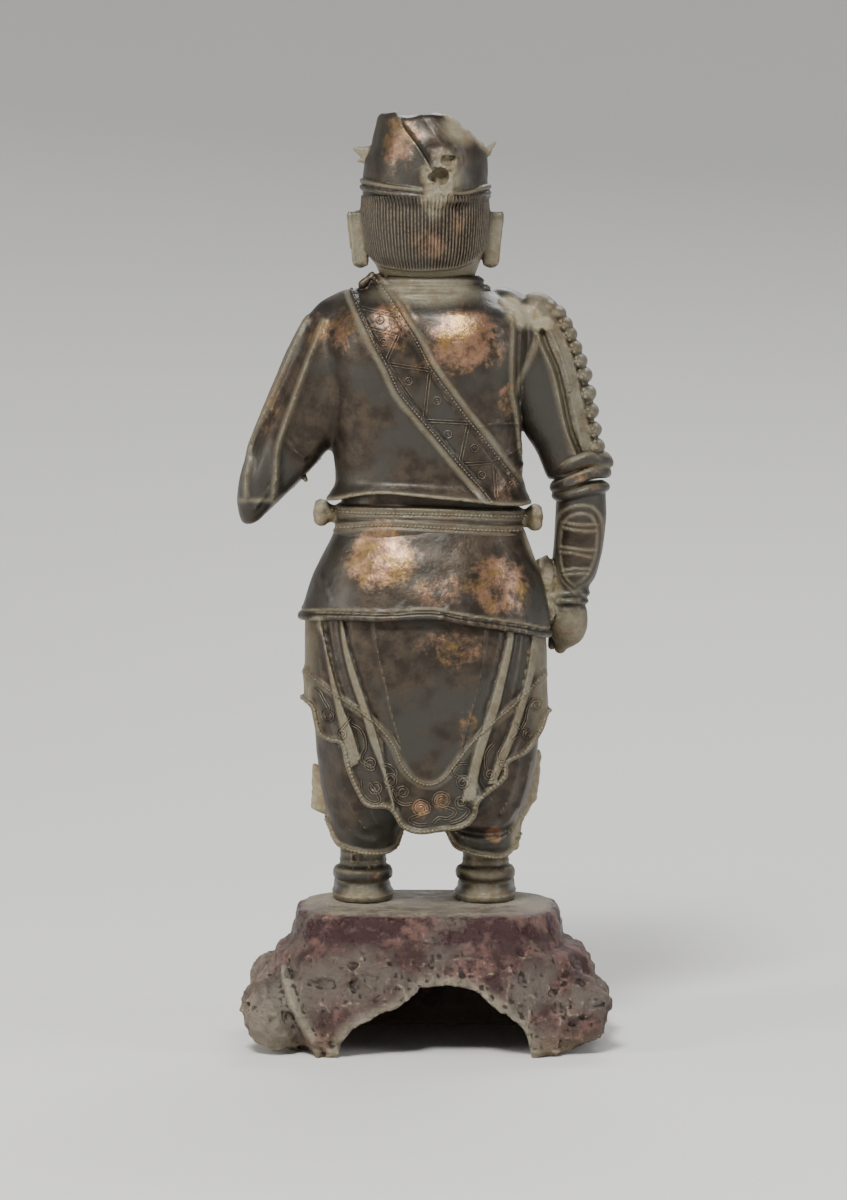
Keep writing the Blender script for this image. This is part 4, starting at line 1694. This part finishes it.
def laid_cord_tree():
    tree = bpy.data.node_groups.new("laid_cord", "GeometryNodeTree")
    sockets = (
        ("Guide", "NodeSocketGeometry"), ("Surface", "NodeSocketObject"), ("Step", "NodeSocketFloat"),
        ("Cord Radius", "NodeSocketFloat"), ("Cord Sides", "NodeSocketInt"), ("Lift", "NodeSocketFloat"),
        ("Bead Radius", "NodeSocketFloat"), ("Bead Pitch", "NodeSocketFloat"), ("Seed", "NodeSocketInt"),
        ("Finish", "NodeSocketMaterial"),
    )
    for name, kind in sockets:
        tree.interface.new_socket(name=name, in_out="INPUT", socket_type=kind)
    tree.interface.new_socket(name="Cords", in_out="OUTPUT", socket_type="NodeSocketGeometry")
    given = tree.nodes.new("NodeGroupInput").outputs
    target = add(tree, "GeometryNodeObjectInfo", {"Object": given["Surface"]}).outputs["Geometry"]
    aim = add(tree, "GeometryNodeInputNamedAttribute", {"Name": "aim"}, data_type="FLOAT_VECTOR").outputs[0]
    back = add(tree, "ShaderNodeVectorMath", {0: aim, "Scale": -1.0}, operation="SCALE").outputs[0]
    guide = add(tree, "GeometryNodeMeshToCurve", {"Mesh": given["Guide"]}).outputs[0]

    def pressed(step, lift):
        curve = add(tree, "GeometryNodeResampleCurve", {"Curve": guide, "Length": step}, mode="LENGTH").outputs[0]
        here = add(tree, "GeometryNodeInputPosition").outputs[0]
        for name in ("worn", "dust"):
            read = add(tree, "GeometryNodeInputNamedAttribute", {"Name": name}, data_type="FLOAT").outputs[0]
            ray = {"Target Geometry": target, "Attribute": read, "Source Position": here, "Ray Direction": aim}
            seen = add(tree, "GeometryNodeRaycast", ray, data_type="FLOAT").outputs["Attribute"]
            store = {"Geometry": curve, "Name": name, "Value": seen}
            curve = add(tree, "GeometryNodeStoreNamedAttribute", store, data_type="FLOAT", domain="POINT").outputs[0]
        ray = {"Target Geometry": target, "Source Position": here, "Ray Direction": aim, "Ray Length": FAR * MM}
        hit = add(tree, "GeometryNodeRaycast", ray).outputs
        raised = add(tree, "ShaderNodeVectorMath", {0: back, "Scale": lift}, operation="SCALE").outputs[0]
        spot = add(tree, "ShaderNodeVectorMath", {0: hit["Hit Position"], 1: raised}, operation="ADD").outputs[0]
        missed = add(tree, "FunctionNodeBooleanMath", {0: hit["Is Hit"]}, operation="NOT").outputs[0]
        curve = add(tree, "GeometryNodeDeleteGeometry", {"Geometry": curve, "Selection": missed}).outputs[0]
        return add(tree, "GeometryNodeSetPosition", {"Geometry": curve, "Position": spot}).outputs[0]

    line = pressed(given["Step"], given["Lift"])
    profile = add(
        tree, "GeometryNodeCurvePrimitiveCircle",
        {"Resolution": given["Cord Sides"], "Radius": given["Cord Radius"]}, mode="RADIUS",
    ).outputs[0]
    sweep = {"Curve": line, "Profile Curve": profile, "Fill Caps": True}
    cords = add(tree, "GeometryNodeCurveToMesh", sweep).outputs[0]
    row = pressed(given["Bead Pitch"], given["Lift"])
    bead = add(
        tree, "GeometryNodeMeshUVSphere", {"Segments": 7, "Rings": 4, "Radius": given["Bead Radius"]}
    ).outputs["Mesh"]
    size = add(
        tree, "FunctionNodeRandomValue", {2: 0.82, 3: 1.12, "Seed": given["Seed"]}, data_type="FLOAT"
    ).outputs[1]
    turn = add(
        tree, "FunctionNodeRandomValue", {1: (6.28, 6.28, 6.28), "Seed": given["Seed"]}, data_type="FLOAT_VECTOR"
    ).outputs[0]
    place = {"Points": row, "Instance": bead, "Scale": size, "Rotation": turn}
    beads = add(tree, "GeometryNodeInstanceOnPoints", place).outputs[0]
    wanted = add(
        tree, "FunctionNodeCompare", {0: given["Bead Radius"], 1: 0.0}, data_type="FLOAT", operation="GREATER_THAN"
    ).outputs[0]
    chosen = add(
        tree, "GeometryNodeSwitch", {"Switch": wanted, "True": beads}, input_type="GEOMETRY"
    ).outputs[0]
    both = tree.nodes.new("GeometryNodeJoinGeometry")
    tree.links.new(cords, both.inputs[0])
    tree.links.new(chosen, both.inputs[0])
    smooth = add(tree, "GeometryNodeSetShadeSmooth", {"Geometry": both.outputs[0]}).outputs[0]
    real = add(tree, "GeometryNodeRealizeInstances", {"Geometry": smooth}).outputs[0]
    normal = add(tree, "GeometryNodeInputNormal").outputs[0]
    inwards = add(tree, "ShaderNodeVectorMath", {0: normal, 1: aim}, operation="DOT_PRODUCT").outputs["Value"]
    bend = maths(tree, "ADD", maths(tree, "MULTIPLY", inwards, 2.6), 1.3)
    store = {"Geometry": real, "Name": "crevice", "Value": bend}
    noted = add(tree, "GeometryNodeStoreNamedAttribute", store, data_type="FLOAT", domain="POINT").outputs[0]
    done = add(tree, "GeometryNodeSetMaterial", {"Geometry": noted, "Material": given["Finish"]}).outputs[0]
    tree.links.new(done, tree.nodes.new("NodeGroupOutput").inputs[0])
    return tree


CORD_TREE = laid_cord_tree()
FINE_STEP = 0.8


def seen_from(line, side):
    """A guide for a line of x and z, drawn behind the figure or before it and aimed straight at it."""
    rows = np.array(line, float)
    points = np.column_stack([rows[:, 0], np.full(len(rows), side * FAR), rows[:, 1]])
    return points, np.tile([0, -side, 0], (len(rows), 1))


def lay(name, guides, surface, radius, lift=0.0, beads=0.0, pitch=2.0, sides=6, step=FINE_STEP):
    """Cords laid on a piece along guides, each a list of points and a list of aims. Sizes in mm."""
    points, aims, edges = [], [], []
    for line, aim in guides:
        first = len(points)
        points.extend(line * MM)
        aims.extend(aim)
        edges.extend((first + k, first + k + 1) for k in range(len(line) - 1))
    mesh = bpy.data.meshes.new(name + "_guide")
    mesh.from_pydata(points, edges, [])
    layer = mesh.attributes.new("aim", "FLOAT_VECTOR", "POINT")
    layer.data.foreach_set("vector", np.array(aims, np.float32).ravel())
    carrier = bpy.data.objects.new(name + "_guide", mesh)
    bpy.context.scene.collection.objects.link(carrier)
    modifier = carrier.modifiers.new("cords", "NODES")
    modifier.node_group = CORD_TREE
    values = {
        "Surface": surface, "Step": step * MM, "Cord Radius": radius * MM, "Cord Sides": sides,
        "Lift": lift * MM, "Bead Radius": beads * MM, "Bead Pitch": pitch * MM, "Seed": 7, "Finish": BRONZE,
    }
    for item in CORD_TREE.interface.items_tree:
        if item.name in values:
            modifier[item.identifier] = values[item.name]
    depsgraph = bpy.context.evaluated_depsgraph_get()
    made = bpy.data.objects.new(name, bpy.data.meshes.new_from_object(carrier.evaluated_get(depsgraph)))
    made.data.name = name
    bpy.context.scene.collection.objects.link(made)
    bpy.data.objects.remove(carrier)
    made.data.calc_loop_triangles()
    print(f"{name}: {len(made.data.loop_triangles)} triangles")
    return made


# %% Beaded cords on belt, robe and skirt
def both_sides(line):
    return [seen_from(line, BEHIND), seen_from(line, BEFORE)]


belt_beads = lay(
    "belt_beads", both_sides(BEAD_ROW_UPPER) + both_sides(BEAD_ROW_LOWER), belt, 0.35, 0.1, 0.7, 1.4
)
robe_cords = lay(
    "robe_border_cords", both_sides(ROBE_EDGE_OUTER) + both_sides(ROBE_EDGE_INNER), jacket, 0.4, 0.1, 0.66, 1.25
)
skirt_beads = lay("skirt_border_beads", both_sides(SKIRT_BORDER), skirt, 0.4, 0.1, 0.66, 1.25)
hem_beads = lay("skirt_hem_beads", both_sides(beside(SKIRT_HEM, -0.6)), skirt, 0.6, 0.15, 0.88, 1.5)
leg_beads = lay(
    "trouser_hem_beads", both_sides(LEFT_LEG_HEM) + both_sides(RIGHT_LEG_HEM), legs, 0.5, 0.1, 0.72, 1.35
)
lame_beads = lay("armour_beads", both_sides(beside(LAME_EDGE, -3.4)), jacket, 0.3, 0.1, 0.95, 2.3)

# %% [markdown]
# ## Threads: cloud scrolls and the robe's border
#
# Between the skirt's border and its hem runs a band of cloud scrolls, each a spiral with a tail, in
# two thin threads side by side. The robe's border is divided by double lines and diagonals, with a
# small ring in each field. All of it was laid in wax thread, so it is laid here in the same way.

# %% Threads
SCROLLS = [  # eye x, eye z, size, direction in which it opens in degrees, hand, tail points
    (34.4, 121.6, 2.6, 100, 1, [(36, 127), (37.5, 129.9), (39.6, 131.6)]),
    (19, 104.9, 2.3, 240, -1, [(22.6, 106.2), (21, 110.1), (21.2, 113.8), (22.8, 117.1), (26, 119)]),
    (17.2, 96.2, 2.5, 30, 1, [(15.6, 91.6), (19.4, 91), (22.4, 94.7), (22.9, 99.1)]),
    (12.2, 99, 2.7, 300, 1, [(10, 101), (12, 104), (15, 104.6)]),
    (7.4, 94.4, 2.3, 320, -1, [(11, 95.4), (10.3, 92.1), (7.4, 90), (3.9, 90.4)]),
    (1.1, 88.6, 3.3, 200, 1, [(5, 84.6), (2, 82.6), (-1.4, 82.8)]),
    (-6.8, 91.4, 3.4, 340, -1, [(-11.4, 87.6), (-8.8, 84.8), (-5.4, 85), (-3.4, 83)]),
    (-14.2, 98, 2.5, 160, 1, [(-10.4, 101.4), (-12, 104.6), (-15.8, 105)]),
    (-13.6, 90.8, 2.2, 250, -1, [(-16.4, 87.6), (-13.4, 84.6), (-9.6, 83.2)]),
    (-23.9, 100.8, 2, 60, 1, [(-22.3, 105), (-22.8, 109), (-25.6, 112.2)]),
    (-28.2, 104.4, 1.7, 60, -1, [(-27, 108), (-28.8, 111)]),
    (-40.8, 125, 2.3, 60, -1, [(-37.7, 124), (-36.8, 119.4), (-34.4, 115.9), (-32, 113.4)]),
    (-37.6, 114.6, 1.6, 120, 1, [(-35, 117), (-33, 119.6)]),
    (29.4, 115.4, 1.6, 60, 1, [(28.4, 119), (26.4, 121.4)]),
]
THREAD_GAP = 0.42


def cloud_scroll(x, z, size, opens, hand, tail):
    t = np.linspace(0, 1, 30)
    turn = math.radians(opens) - hand * 2 * math.pi * 1.4 * (1 - t)
    radius = size * (0.3 + 0.7 * t)
    spiral = np.column_stack([x + radius * np.cos(turn), z + radius * np.sin(turn)])
    line = np.vstack([spiral[:-1], smooth_line([spiral[-1], *tail], 0.7)])
    return [beside(line, THREAD_GAP), beside(line, -THREAD_GAP)]


def ring(x, z, radius):
    turn = np.linspace(0, 2 * math.pi, 17)
    return np.column_stack([x + radius * np.cos(turn), z + radius * np.sin(turn)])


scroll_threads = [line for scroll in SCROLLS for line in cloud_scroll(*scroll)]
skirt_scrolls = lay(
    "skirt_cloud_scrolls", [g for line in scroll_threads for g in both_sides(line)], skirt, 0.36, 0.1, sides=5
)
FIELD_LINES = [
    [(13, 249), (-2, 246.6)], [(-0.6, 228.4), (-15.9, 227.6)], [(-14.8, 212.6), (-26, 213.4)],
    [(9, 259.4), (13, 250.6)], [(-2.2, 245.4), (-0.4, 230)], [(-16, 226.4), (-13.4, 213.8)],
    [(-25.4, 212.2), (-26.4, 200.4)], [(-32, 206), (-26.6, 199.6)], [(8.6, 266), (22, 268.6)],
    [(9, 259.4), (20, 262)], [(12.6, 248), (4, 236)], [(-1, 227), (-8, 219)],
]
FIELD_RINGS = [(14.3, 256.6), (15.6, 264.6), (5.4, 242.6), (-4.9, 235.6), (-8.8, 223.4), (-18.4, 218.4), (-21, 208.6)]
field_threads = [beside(smooth_line(points), way) for points in FIELD_LINES for way in (0.5, -0.5)]
field_threads += [ring(x, z, radius) for x, z in FIELD_RINGS for radius in (1.4, 0.6)]
robe_threads = lay(
    "robe_border_threads", [g for line in field_threads for g in both_sides(line)], jacket, 0.32, 0.08, sides=5
)

# %% Combed hair
STRAND_PITCH = math.radians(3.1)
HAIR_TOP = CAP_BAND + 1


def hair_guides():
    """Upright lines all round the back of the head, each aimed at the head's axis."""
    guides = []
    count = int(math.radians(176) / STRAND_PITCH)
    draw = np.random.default_rng(11)
    for k in range(count):
        turn = math.radians(2) + (k + 0.5) * STRAND_PITCH
        sway = draw.uniform(-0.006, 0.006)
        x_out = -0.7 + 22 * math.cos(turn)
        foot = float(height_on(HAIR_HEM, np.array([x_out]))[0]) + 0.5
        heights = np.linspace(HAIR_TOP, foot, 14)
        turns = turn + sway * np.sin(np.linspace(0, 3, 14) + k)
        points = np.column_stack([-0.7 + FAR * np.cos(turns), FAR * np.sin(turns), heights])
        aims = np.column_stack([-np.cos(turns), -np.sin(turns), 0 * turns])
        guides.append((points, aims))
    return guides


hair = lay("combed_hair", hair_guides(), head, 0.5, 0.02, sides=6, step=1.3)

# %% Handing over
castings = [skirt, apron, belt, jacket, forearm, head, legs]
threads = [belt_beads, robe_cords, skirt_beads, hem_beads, leg_beads, lame_beads, skirt_scrolls, robe_threads, hair]
for piece in castings + threads:
    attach(piece, "root")
    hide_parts("figure")
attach(plinth, "root")
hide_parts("plinth")
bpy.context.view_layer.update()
print("built in", round(time.time() - started, 1), "s")
